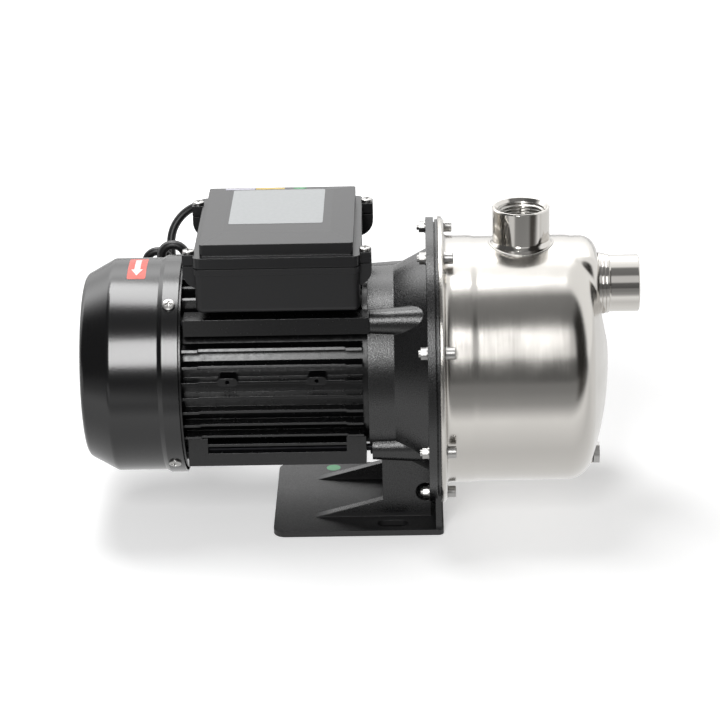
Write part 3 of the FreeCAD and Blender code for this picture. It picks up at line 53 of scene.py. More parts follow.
# The cord's route from the gland to the hank, and from the hank to the plug, in mm.
LEAD = (
    (-119, 97, 190), (-119, 106, 190.3), (-123.5, 118.5, 193), (-133, 128.7, 192.8),
    (-145.5, 134.3, 188.9), (-159, 133.6, 181), (-167.3, 127.5, 167.7), (-166, 117, 149),
    (-162.5, 111, 124),
)
TAIL = (
    (-135, 89.5, 15), (-124, 95, 3.6), (-111, 103, 3.4), (-98, 111, 8.5), (-86, 116, 16),
    (-73, 118, 19.5), (-60, 118, 19.5),
)
# Folds of the hank in their order along the cord: X and Y where each starts and ends, and its outer height.
FOLDS = (
    ((-179.5, 109.0), (-141.5, 102.4), 3.4),
    ((-165.8, 99.1), (-183.8, 99.1), 164.0),
    ((-179.5, 102.4), (-141.5, 95.8), 3.4),
    ((-153.0, 92.6), (-172.0, 92.6), 171.4),
    ((-179.5, 95.8), (-150.5, 89.2), 4.2),
    ((-170.6, 86.0), (-153.0, 86.0), 173.3),
)
# Where each of the seven runs passes through the tie.
WAIST = (
    (-160.5, 108.3), (-157.2, 102.4), (-163.8, 102.4), (-157.2, 95.8), (-163.8, 95.8),
    (-163.8, 89.2), (-157.2, 89.2),
)
WAIST_Z = 88.0
# A quadratic spline runs this share of the way out to control points 30 degrees apart on a circle: cos 15 degrees.
SPLINE_REACH = 0.966
FOLD_STEP = 30
# Middle of the plug across the pump and its height, in mm.
PLUG_Y = 118
PLUG_Z = 19.5

# Surfaces that new pieces are laid on, in mm: the fan cover, the lid, its far slope, the foot, the tank and its port.
COVER_R = 77.1
BOX_X = -76.9
LID_TOP = 228.3
FAR_SLOPE = 12.15
FOOT_TOP = 4.2
TANK_R = 88.85
PORT_X = 95
WELD_R = 22.4
# Middle of the direction sticker: X in mm, and its angle round the cover in degrees.
STICKER_X = -179.35
STICKER_TURN = 86.5
# Middles of the lid's label and of the round sticker on the foot: X and Y, in mm.
LID_LABEL = (-78.35, 8.65)
FOOT_DOT = (-45.2, 51.5)

# Pipe thread in both ports: pitch, radius between the ridges and their height, in mm.
THREAD_PITCH = 25.4 / 11
THREAD_R = 16.6
THREAD_HEIGHT = 1.35

# Camera: degrees down, to the side and rolled, and its place in metres.
CAMERA_TURNS = (21.8045, -1.3109, -1.4317)
CAMERA_SPOT = (0.020714, -1.866520, 0.859422)

# Brightness that shiny pieces see. In the floor it runs from 0.7 m out in front to the shaft's line, and in the room
# from the horizon in front over the top to the horizon behind.
FLOOR_LEVELS = ((0.0, 0.28), (0.5, 0.4), (0.6, 0.65), (0.7, 1.1), (0.86, 0.8), (1.0, 0.95))
ROOM_LEVELS = (
    (0.0, 0.12), (0.1, 0.15), (0.13, 0.75), (0.25, 0.75), (0.29, 0.2), (0.45, 0.25), (0.5, 1.1),
    (0.64, 1.6), (0.75, 3.9), (0.86, 1.7), (1.0, 1.05),
)
# A colour ramp stops at 1, so it holds its levels divided by this.
RAMP_TOP = 4

# Edges steeper than this many degrees stay sharp, and points closer than this many mm are one.
SHARP_EDGE = 38
SAME_POINT = 0.002


class PumpStageSizes(bpy.types.PropertyGroup):
    """Camera, floor and lamps."""
    lens: bpy.props.FloatProperty(
        name="Lens", description="Focal length in mm on a 36 mm wide sensor", default=138.302)
    floor_width: bpy.props.FloatProperty(
        name="Floor width", description="Side of the square floor", default=8.0, unit="LENGTH")
    floor_colour: bpy.props.StringProperty(
        name="Floor colour", description="sRGB hex of the studio floor", default="#e6e6e6")
    soft_light: bpy.props.FloatProperty(
        name="Soft light", description="Brightness of the even light from the room", default=0.2)


class PumpCordSizes(bpy.types.PropertyGroup):
    """Mains cord and its tie."""
    diameter: bpy.props.FloatProperty(
        name="Diameter", description="Outside of the sheath", default=0.0065, unit="LENGTH")
    length: bpy.props.FloatProperty(
        name="Length", description="From the gland to the plug", default=1.434, unit="LENGTH")
    tie_width: bpy.props.FloatProperty(
        name="Tie width", description="Width of the cable tie", default=0.0045, unit="LENGTH")


class PumpFinishColours(bpy.types.PropertyGroup):
    """Colours of the finishes, as sRGB hex."""
    powder: bpy.props.StringProperty(
        name="Bracket", description="Textured powder coat", default="#0f0f10")
    housing: bpy.props.StringProperty(
        name="Motor", description="Paint on the housing", default="#0b0b0c")
    cover: bpy.props.StringProperty(
        name="Fan cover", description="Semi-gloss paint on sheet steel", default="#0d0d0e")
    box: bpy.props.StringProperty(
        name="Terminal box", description="Moulded plastic of the box", default="#101012")
    sheath: bpy.props.StringProperty(
        name="Cord", description="Sheath of the mains cord", default="#121213")
    sticker: bpy.props.StringProperty(
        name="Arrow sticker", description="Ground of the direction sticker", default="#d8432b")


# Shared helpers

def linear(code):
    """An sRGB hex colour as linear red, green, blue and alpha."""
    parts = [int(code[i:i + 2], 16) / 255 for i in (1, 3, 5)]
    return [p / 12.92 if p <= 0.04045 else ((p + 0.055) / 1.055) ** 2.4 for p in parts] + [1.0]


def add_node(tree, kind, sockets=None, **settings):
    """Adds a shader node, with its settings, and sets or links its input sockets."""
    node = tree.nodes.new(kind)
    for name, value in settings.items():
        setattr(node, name, value)
    for key, value in (sockets or {}).items():
        if isinstance(value, bpy.types.NodeSocket):
            tree.links.new(value, node.inputs[key])
        else:
            node.inputs[key].default_value = value
    return node


def start_finish(name, sockets):
    """A material with one principled shader, its tree and the place on the pump as a texture coordinate."""
    material = bpy.data.materials.new(name)
    material.use_nodes = True
    tree = material.node_tree
    tree.nodes.clear()
    shader = add_node(tree, "ShaderNodeBsdfPrincipled", sockets)
    add_node(tree, "ShaderNodeOutputMaterial", {"Surface": shader.outputs["BSDF"]})
    place = add_node(tree, "ShaderNodeTexCoord").outputs["Object"]
    return material, tree, shader, place


def per_mm(size):
    """Texture scale, on coordinates in metres, whose features are about this many mm."""
    return 1.0 / (size * MM)


def coat(material, *names):
    """Gives the CAD nodes of these names the material, in all their slots."""
    for name in names:
        for slot in nodes[name].material_slots:
            slot.material = material


def make_piece(name, mesh, material, body="frame"):
    """A new object on a body, with one material."""
    piece = bpy.data.objects.new(name, mesh)
    bpy.context.scene.collection.objects.link(piece)
    mesh.materials.append(material)
    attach(piece, body)
    return piece


def grid_mesh(name, rows, closed=False, caps=False):
    """Mesh through rows of points, smooth but for its corners. Each row closes on itself where closed is set."""
    verts = [tuple(p) for row in rows for p in row]
    width = len(rows[0])
    faces = []
    for i in range(len(rows) - 1):
        for j in range(width if closed else width - 1):
            k = (j + 1) % width
            faces.append((i * width + j, i * width + k, (i + 1) * width + k, (i + 1) * width + j))
    if caps:
        faces.append(tuple(reversed(range(width))))
        faces.append(tuple(range((len(rows) - 1) * width, len(rows) * width)))
    mesh = bpy.data.meshes.new(name)
    mesh.from_pydata(verts, [], faces)
    return gather(name, [mesh])


def gather(name, meshes):
    """One mesh out of several, with doubled points merged and every side facing outwards."""
    bm = bmesh.new()
    for mesh in meshes:
        bm.from_mesh(mesh)
    bmesh.ops.remove_doubles(bm, verts=bm.verts, dist=SAME_POINT * MM)
    bmesh.ops.recalc_face_normals(bm, faces=bm.faces)
    whole = bpy.data.meshes.new(name)
    bm.to_mesh(whole)
    bm.free()
    for polygon in whole.polygons:
        polygon.use_smooth = True
    whole.set_sharp_from_angle(angle=math.radians(SHARP_EDGE))
    return whole


def rounded_rows(width, height, corner):
    """Rows (v, left, right) of a rectangle with round corners, in mm."""
    rows = []
    for step in range(6):
        turn = math.radians(18 * step)
        inset = corner * (1 - math.sin(turn))
        rows.append((-height / 2 + corner * (1 - math.cos(turn)), inset - width / 2, width / 2 - inset))
    middle = [(v, rows[-1][1], rows[-1][2]) for v in between(rows[-1][0], -rows[-1][0])]
    return rows + middle + [(-v, left, right) for v, left, right in reversed(rows)]


def oval_rows(width, height):
    """Rows (v, left, right) of an oval, in mm."""
    rows = []
    for step in range(1, 24):
        turn = math.pi * step / 24
        half = width / 2 * math.sin(turn)
        rows.append((-height / 2 * math.cos(turn), -half, half))
    return rows


def between(first, last):
    """Twelve values evenly spaced between two, without the ends."""
    return [first + (last - first) * step / 13 for step in range(1, 13)]


def sheet_mesh(name, rows, place, thickness):
    """Thin sheet on the pump. place gives a point in mm from u, v and the height above the surface."""
    rings = []
    for v, left, right in rows:
        across = [left + (right - left) * step / 6 for step in range(7)]
        ring = [place(u, v, thickness) for u in across] + [place(u, v, 0.01) for u in reversed(across)]
        rings.append([Vector(spot) * MM for spot in ring])
    return grid_mesh(name, rings, closed=True, caps=True)


# Finishes

def colours():
    """The colours set in the panel."""
    return bpy.context.scene.pump_colours


def textured_powder_coat():
    # Polyester powder, sprayed and baked on the die-cast bracket. Its wrinkled grain breaks the shine into specks,
    # and dust dulls the flat of the foot.
    material, tree, shader, place = start_finish("textured_powder_coat", {
        "Base Color": linear(colours().powder), "IOR": 1.62})
    grain = add_node(tree, "ShaderNodeTexNoise", {
        "Vector": place, "Scale": per_mm(0.9), "Detail": 3.0, "Roughness": 0.6})
    gloss = add_node(tree, "ShaderNodeMapRange", {
        "Value": grain.outputs["Fac"], "From Min": 0.35, "From Max": 0.65, "To Min": 0.22, "To Max": 0.36})
    axes = add_node(tree, "ShaderNodeSeparateXYZ", {"Vector": place})
    dust = add_node(tree, "ShaderNodeMapRange", {
        "Value": axes.outputs["Z"], "From Min": 0.008, "From Max": 0.004, "To Min": 0.0, "To Max": 0.3})
    dull = add_node(tree, "ShaderNodeMath", {0: gloss.outputs["Result"], 1: dust.outputs["Result"]}, operation="ADD")
    edge = add_node(tree, "ShaderNodeBevel", {"Radius": 0.8 * MM}, samples=4)
    bump = add_node(tree, "ShaderNodeBump", {
        "Height": grain.outputs["Fac"], "Strength": 0.4, "Distance": 0.25 * MM,
        "Normal": edge.outputs["Normal"]})
    tree.links.new(dull.outputs["Value"], shader.inputs["Roughness"])
    tree.links.new(bump.outputs["Normal"], shader.inputs["Normal"])
    return material


def painted_casting():
    # Black enamel over die-cast aluminium. The thin paint keeps the casting's soft waviness and rounds its edges.
    material, tree, shader, place = start_finish("painted_casting", {
        "Base Color": linear(colours().housing), "IOR": 1.5})
    skin = add_node(tree, "ShaderNodeTexNoise", {
        "Vector": place, "Scale": per_mm(2.4), "Detail": 3.0, "Roughness": 0.55})
    gloss = add_node(tree, "ShaderNodeMapRange", {
        "Value": skin.outputs["Fac"], "From Min": 0.3, "From Max": 0.7, "To Min": 0.18, "To Max": 0.28})
    edge = add_node(tree, "ShaderNodeBevel", {"Radius": 0.5 * MM}, samples=6)
    bump = add_node(tree, "ShaderNodeBump", {
        "Height": skin.outputs["Fac"], "Strength": 0.06, "Distance": 0.25 * MM,
        "Normal": edge.outputs["Normal"]})
    tree.links.new(gloss.outputs["Result"], shader.inputs["Roughness"])
    tree.links.new(bump.outputs["Normal"], shader.inputs["Normal"])
    return material


def semi_gloss_enamel():
    # Stoved black enamel on pressed sheet steel: smooth and fairly glossy, with a faint orange peel.
    material, tree, shader, place = start_finish("semi_gloss_enamel", {
        "Base Color": linear(colours().cover), "Roughness": 0.2, "IOR": 1.58})
    peel = add_node(tree, "ShaderNodeTexNoise", {
        "Vector": place, "Scale": per_mm(1.4), "Detail": 2.0, "Roughness": 0.5})
    edge = add_node(tree, "ShaderNodeBevel", {"Radius": 0.5 * MM}, samples=4)
    bump = add_node(tree, "ShaderNodeBump", {
        "Height": peel.outputs["Fac"], "Strength": 0.12, "Distance": 0.15 * MM,
        "Normal": edge.outputs["Normal"]})
    tree.links.new(bump.outputs["Normal"], shader.inputs["Normal"])
    return material


def spark_textured_abs():
    # ABS moulded in a spark-eroded tool: an even matt grain over a black that greys at grazing light.
    material, tree, shader, place = start_finish("spark_textured_abs", {
        "Base Color": linear(colours().box), "IOR": 1.53})
    grain = add_node(tree, "ShaderNodeTexNoise", {
        "Vector": place, "Scale": per_mm(0.6), "Detail": 2.0, "Roughness": 0.7})
    gloss = add_node(tree, "ShaderNodeMapRange", {
        "Value": grain.outputs["Fac"], "From Min": 0.35, "From Max": 0.65, "To Min": 0.42, "To Max": 0.54})
    edge = add_node(tree, "ShaderNodeBevel", {"Radius": 0.6 * MM}, samples=4)
    bump = add_node(tree, "ShaderNodeBump", {
        "Height": grain.outputs["Fac"], "Strength": 0.22, "Distance": 0.2 * MM,
        "Normal": edge.outputs["Normal"]})
    tree.links.new(gloss.outputs["Result"], shader.inputs["Roughness"])
    tree.links.new(bump.outputs["Normal"], shader.inputs["Normal"])
    return material


def satin_abs():
    # ABS moulded in a smooth tool for the lid: a satin black with a clean, soft reflection.
    material, tree, shader, place = start_finish("satin_abs", {
        "Base Color": linear(colours().box), "Roughness": 0.3, "IOR": 1.53})
    flow = add_node(tree, "ShaderNodeTexNoise", {
        "Vector": place, "Scale": per_mm(7.0), "Detail": 3.0, "Roughness": 0.5})
    edge = add_node(tree, "ShaderNodeBevel", {"Radius": 0.8 * MM}, samples=4)
    bump = add_node(tree, "ShaderNodeBump", {
        "Height": flow.outputs["Fac"], "Strength": 0.08, "Distance": 0.4 * MM,
        "Normal": edge.outputs["Normal"]})
    tree.links.new(bump.outputs["Normal"], shader.inputs["Normal"])
    return material


def round_the_shaft(tree, place):
    """Position along the shaft, distance from it and angle about it, from the place on the pump."""
    centred = add_node(tree, "ShaderNodeVectorMath", {0: place, 1: (0, 0, -SHAFT_Z)}, operation="ADD")
    axes = add_node(tree, "ShaderNodeSeparateXYZ", {"Vector": centred.outputs["Vector"]})
    side = add_node(tree, "ShaderNodeCombineXYZ", {"Y": axes.outputs["Y"], "Z": axes.outputs["Z"]})
    reach = add_node(tree, "ShaderNodeVectorMath", {0: side.outputs["Vector"]}, operation="LENGTH")
    angle = add_node(tree, "ShaderNodeMath", {0: axes.outputs["Z"], 1: axes.outputs["Y"]}, operation="ARCTAN2")
    return axes.outputs["X"], reach.outputs["Value"], angle.outputs["Value"]


def brushed_stainless():
    # Stainless sheet, deep drawn, then brushed while it turned. The lines run round the tank and stretch the
    # shine along it. Real ones are 0.05 mm apart, so they are drawn about 0.7 mm apart to show at all.
    material, tree, shader, place = start_finish("brushed_stainless", {
        "Base Color": linear("#c9c6c1"), "Metallic": 1.0, "Anisotropic": 0.3, "Anisotropic Rotation": 0.25})
    along, reach, angle = round_the_shaft(tree, place)
    turn = add_node(tree, "ShaderNodeMath", {0: angle, 1: 1.2 * MM}, operation="MULTIPLY")
    line = add_node(tree, "ShaderNodeCombineXYZ", {"X": along, "Y": reach, "Z": turn.outputs["Value"]})
    brush = add_node(tree, "ShaderNodeTexNoise", {
        "Vector": line.outputs["Vector"], "Scale": per_mm(0.7), "Detail": 5.0, "Roughness": 0.7})
    cloud = add_node(tree, "ShaderNodeTexNoise", {
        "Vector": place, "Scale": per_mm(28.0), "Detail": 3.0, "Roughness": 0.5})
    both = add_node(tree, "ShaderNodeMath", {
        0: brush.outputs["Fac"], 1: cloud.outputs["Fac"]}, operation="ADD")
    gloss = add_node(tree, "ShaderNodeMapRange", {
        "Value": both.outputs["Value"], "From Min": 0.7, "From Max": 1.3, "To Min": 0.13, "To Max": 0.25})
    soft = add_node(tree, "ShaderNodeBevel", {"Radius": 3.0 * MM}, samples=6)
    bump = add_node(tree, "ShaderNodeBump", {
        "Height": brush.outputs["Fac"], "Strength": 0.035, "Distance": 0.1 * MM, "Normal": soft.outputs["Normal"]})
    tangent = add_node(tree, "ShaderNodeTangent", direction_type="RADIAL", axis="X")
    tree.links.new(tangent.outputs["Tangent"], shader.inputs["Tangent"])
    tree.links.new(gloss.outputs["Result"], shader.inputs["Roughness"])
    tree.links.new(bump.outputs["Normal"], shader.inputs["Normal"])
    return material


def polished_stainless():
    # Turned and polished stainless for the ports: a clear mirror with faint tool rings.
    material, tree, shader, place = start_finish("polished_stainless", {
        "Base Color": linear("#cfccc7"), "Metallic": 1.0})
    rings = add_node(tree, "ShaderNodeTexNoise", {
        "Vector": place, "Scale": per_mm(1.2), "Detail": 3.0, "Roughness": 0.6})
    gloss = add_node(tree, "ShaderNodeMapRange", {
        "Value": rings.outputs["Fac"], "From Min": 0.3, "From Max": 0.7, "To Min": 0.07, "To Max": 0.13})
    edge = add_node(tree, "ShaderNodeBevel", {"Radius": 0.4 * MM}, samples=4)
    tree.links.new(gloss.outputs["Result"], shader.inputs["Roughness"])
    tree.links.new(edge.outputs["Normal"], shader.inputs["Normal"])
    return material


def bright_zinc():
    # Zinc plate on steel screws: a bright metal with a slightly cloudy, cool skin.
    material, tree, shader, place = start_finish("bright_zinc", {
        "Base Color": linear("#adacaa"), "Metallic": 1.0})
    cloud = add_node(tree, "ShaderNodeTexNoise", {
        "Vector": place, "Scale": per_mm(1.5), "Detail": 3.0, "Roughness": 0.6})
    gloss = add_node(tree, "ShaderNodeMapRange", {
        "Value": cloud.outputs["Fac"], "From Min": 0.3, "From Max": 0.7, "To Min": 0.26, "To Max": 0.42})
    edge = add_node(tree, "ShaderNodeBevel", {"Radius": 0.25 * MM}, samples=4)
    tree.links.new(gloss.outputs["Result"], shader.inputs["Roughness"])
    tree.links.new(edge.outputs["Normal"], shader.inputs["Normal"])
    return material


def printed_film(name, colour):
    """Vinyl label film: smooth, with the thin clear layer over its print."""
    material, tree, shader, place = start_finish(name, {
        "Base Color": linear(colour), "IOR": 1.45, "Coat Weight": 0.4, "Coat Roughness": 0.15})
    weave = add_node(tree, "ShaderNodeTexNoise", {
        "Vector": place, "Scale": per_mm(3.0), "Detail": 2.0, "Roughness": 0.5})
    gloss = add_node(tree, "ShaderNodeMapRange", {
        "Value": weave.outputs["Fac"], "From Min": 0.3, "From Max": 0.7, "To Min": 0.34, "To Max": 0.46})
    tree.links.new(gloss.outputs["Result"], shader.inputs["Roughness"])
    return material


def pvc_sheath():
    # Extruded PVC sheath: a smooth, slightly waxy black with shallow lengthwise marks.
    material, tree, shader, place = start_finish("pvc_sheath", {
        "Base Color": linear(colours().sheath), "Roughness": 0.42, "IOR": 1.53})
    marks = add_node(tree, "ShaderNodeTexNoise", {
        "Vector": place, "Scale": per_mm(2.0), "Detail": 3.0, "Roughness": 0.6})
    bump = add_node(tree, "ShaderNodeBump", {
        "Height": marks.outputs["Fac"], "Strength": 0.12, "Distance": 0.2 * MM})
    tree.links.new(bump.outputs["Normal"], shader.inputs["Normal"])
    return material


def plain_metal(name, colour, low, high):
    """A turned or cast metal with cloudy roughness between two values."""
    material, tree, shader, place = start_finish(name, {"Base Color": linear(colour), "Metallic": 1.0})
    cloud = add_node(tree, "ShaderNodeTexNoise", {
        "Vector": place, "Scale": per_mm(2.5), "Detail": 3.0, "Roughness": 0.6})
    gloss = add_node(tree, "ShaderNodeMapRange", {
        "Value": cloud.outputs["Fac"], "From Min": 0.3, "From Max": 0.7, "To Min": low, "To Max": high})
    tree.links.new(gloss.outputs["Result"], shader.inputs["Roughness"])
    return material


def plain_plastic(name, colour, low, high):
    """A moulded plastic or rubber with a fine grain and roughness between two values."""
    material, tree, shader, place = start_finish(name, {"Base Color": linear(colour), "IOR": 1.5})
    grain = add_node(tree, "ShaderNodeTexNoise", {
        "Vector": place, "Scale": per_mm(0.8), "Detail": 2.0, "Roughness": 0.6})
    gloss = add_node(tree, "ShaderNodeMapRange", {
        "Value": grain.outputs["Fac"], "From Min": 0.3, "From Max": 0.7, "To Min": low, "To Max": high})
    bump = add_node(tree, "ShaderNodeBump", {
        "Height": grain.outputs["Fac"], "Strength": 0.15, "Distance": 0.15 * MM})
    tree.links.new(gloss.outputs["Result"], shader.inputs["Roughness"])
    tree.links.new(bump.outputs["Normal"], shader.inputs["Normal"])
    return material


# Stage

def place_camera():
    """Camera at the photograph's angle, about 22 degrees above and two metres away."""
    pitch, yaw, roll = (math.radians(turn) for turn in CAMERA_TURNS)
    forward = Vector((math.sin(yaw) * math.cos(pitch), math.cos(yaw) * math.cos(pitch), -math.sin(pitch)))
    level = Vector((math.cos(yaw), -math.sin(yaw), 0))
    upward = level.cross(forward)
    right = level * math.cos(roll) + upward * math.sin(roll)
    top = upward * math.cos(roll) - level * math.sin(roll)
    camera = bpy.data.cameras.new("camera")
    camera.lens = bpy.context.scene.pump_stage.lens
    camera.sensor_width = 36
    camera.clip_start = 0.01
    camera.clip_end = 60
    rig = bpy.data.objects.new("camera", camera)
    bpy.context.scene.collection.objects.link(rig)
    turn = Matrix((right, top, -forward)).transposed()
    rig.matrix_world = Matrix.Translation(CAMERA_SPOT) @ turn.to_4x4()
    bpy.context.scene.camera = rig


def place_floor():
    """Pale floor: white to the camera with the pump's shadow, greys for reflections, and painted shade under the
    foot.
    """
    size = bpy.context.scene.pump_stage.floor_width / 2
    mesh = bpy.data.meshes.new("floor")
    mesh.from_pydata([(-size, -size, 0), (size, -size, 0), (size, size, 0), (-size, size, 0)], [], [(0, 1, 2, 3)])
    floor = bpy.data.objects.new("floor", mesh)
    bpy.context.scene.collection.objects.link(floor)
    floor.location.z = -0.0004
    material = bpy.data.materials.new("studio_floor")
    material.use_nodes = True
    tree = material.node_tree
    tree.nodes.clear()
    ray = add_node(tree, "ShaderNodeLightPath")
    place = add_node(tree, "ShaderNodeTexCoord").outputs["Object"]
    axes = add_node(tree, "ShaderNodeSeparateXYZ", {"Vector": place})
    ahead = add_node(tree, "ShaderNodeMapRange", {"Value": axes.outputs["Y"], "From Min": -0.7, "From Max": 0.0})
    near = add_ramp(tree, ahead.outputs["Result"], FLOOR_LEVELS)
    away = add_node(tree, "ShaderNodeMapRange", {
        "Value": axes.outputs["Y"], "From Min": -0.28, "From Max": -0.42}, interpolation_type="SMOOTHSTEP")
    left = add_node(tree, "ShaderNodeMath", {
        0: sector(tree, place, -52.0, -40.0, -24.0, -14.0), 1: away.outputs["Result"]}, operation="MULTIPLY")
    right = add_node(tree, "ShaderNodeMath", {
        0: sector(tree, place, 32.0, 46.0, 66.0, 80.0), 1: away.outputs["Result"]}, operation="MULTIPLY")
    pale = add_node(tree, "ShaderNodeMix", {
        "Factor": left.outputs["Value"], "A": near, "B": (0.85, 0.85, 0.85, 1)}, data_type="RGBA")
    shade = add_node(tree, "ShaderNodeMix", {
        "Factor": right.outputs["Value"], "A": pale.outputs["Result"], "B": (0.08, 0.075, 0.07, 1)},
        data_type="RGBA")
    seen = add_node(tree, "ShaderNodeEmission", {"Color": shade.outputs["Result"], "Strength": 1.0})
    lit = add_node(tree, "ShaderNodeBsdfDiffuse", {
        "Color": linear(bpy.context.scene.pump_stage.floor_colour)})
    reach = add_node(tree, "ShaderNodeVectorMath", {0: place}, operation="LENGTH")
    lift = add_node(tree, "ShaderNodeMapRange", {
        "Value": reach.outputs["Value"], "From Min": 0.25, "From Max": 0.9, "To Min": 0.42, "To Max": 1.0},
        interpolation_type="SMOOTHSTEP")
    glow = add_node(tree, "ShaderNodeMath", {
        0: ray.outputs["Is Camera Ray"], 1: lift.outputs["Result"]}, operation="MULTIPLY")
    white = add_node(tree, "ShaderNodeEmission", {"Color": (1, 1, 1, 1), "Strength": glow.outputs["Value"]})
    both = add_node(tree, "ShaderNodeAddShader", {0: lit.outputs["BSDF"], 1: white.outputs["Emission"]})
    pick = add_node(tree, "ShaderNodeMixShader", {
        "Fac": ray.outputs["Is Glossy Ray"], 1: both.outputs["Shader"], 2: seen.outputs["Emission"]})
    # Painted shade: a near-black patch on the floor just inside the foot's outline, so the slots in the foot show
    # dark.
    dark = add_node(tree, "ShaderNodeBsdfDiffuse", {"Color": (0.02, 0.02, 0.02, 1)})
    centred = add_node(tree, "ShaderNodeVectorMath", {0: place, 1: (0.0245, 0, 0)}, operation="ADD")
    offset = add_node(tree, "ShaderNodeVectorMath", {0: centred.outputs["Vector"]}, operation="ABSOLUTE")
    edge = add_node(tree, "ShaderNodeVectorMath", {
        0: (0.058, 0.058, 9), 1: offset.outputs["Vector"]}, operation="SUBTRACT")
    sides = add_node(tree, "ShaderNodeSeparateXYZ", {"Vector": edge.outputs["Vector"]})
    least = add_node(tree, "ShaderNodeMath", {0: sides.outputs["X"], 1: sides.outputs["Y"]}, operation="MINIMUM")
    under = add_node(tree, "ShaderNodeMath", {0: least.outputs["Value"], 1: 0.0}, operation="GREATER_THAN")
    shaded = add_node(tree, "ShaderNodeMixShader", {
        "Fac": under.outputs["Value"], 1: pick.outputs["Shader"], 2: dark.outputs["BSDF"]})
    add_node(tree, "ShaderNodeOutputMaterial", {"Surface": shaded.outputs["Shader"]})
    mesh.materials.append(material)


def add_ramp(tree, share, stops):
    """Grey levels, up to RAMP_TOP, along a share from 0 to 1."""
    ramp = add_node(tree, "ShaderNodeValToRGB", {"Fac": share})
    while len(ramp.color_ramp.elements) < len(stops):
        ramp.color_ramp.elements.new(0.5)
    for element, (position, level) in zip(ramp.color_ramp.elements, stops):
        element.position = position
        element.color = [level / RAMP_TOP] * 3 + [1]
    return add_node(tree, "ShaderNodeVectorMath", {0: ramp.outputs["Color"], 1: [RAMP_TOP] * 3},
                    operation="MULTIPLY").outputs["Vector"]


def sector(tree, direction, start, full, fade, end):
    """1 between two angles and 0 outside them, in degrees round from the front towards the suction side."""
    axes = add_node(tree, "ShaderNodeSeparateXYZ", {"Vector": direction})
    ahead = add_node(tree, "ShaderNodeMath", {0: axes.outputs["Y"], 1: -1.0}, operation="MULTIPLY")
    angle = add_node(tree, "ShaderNodeMath", {
        0: axes.outputs["X"], 1: ahead.outputs["Value"]}, operation="ARCTAN2")
    rise = add_node(tree, "ShaderNodeMapRange", {
        "Value": angle.outputs["Value"], "From Min": math.radians(start), "From Max": math.radians(full)},
        interpolation_type="SMOOTHSTEP")
    fall = add_node(tree, "ShaderNodeMapRange", {
        "Value": angle.outputs["Value"], "From Min": math.radians(end), "From Max": math.radians(fade)},
        interpolation_type="SMOOTHSTEP")
    return add_node(tree, "ShaderNodeMath", {
        0: rise.outputs["Result"], 1: fall.outputs["Result"]}, operation="MULTIPLY").outputs["Value"]


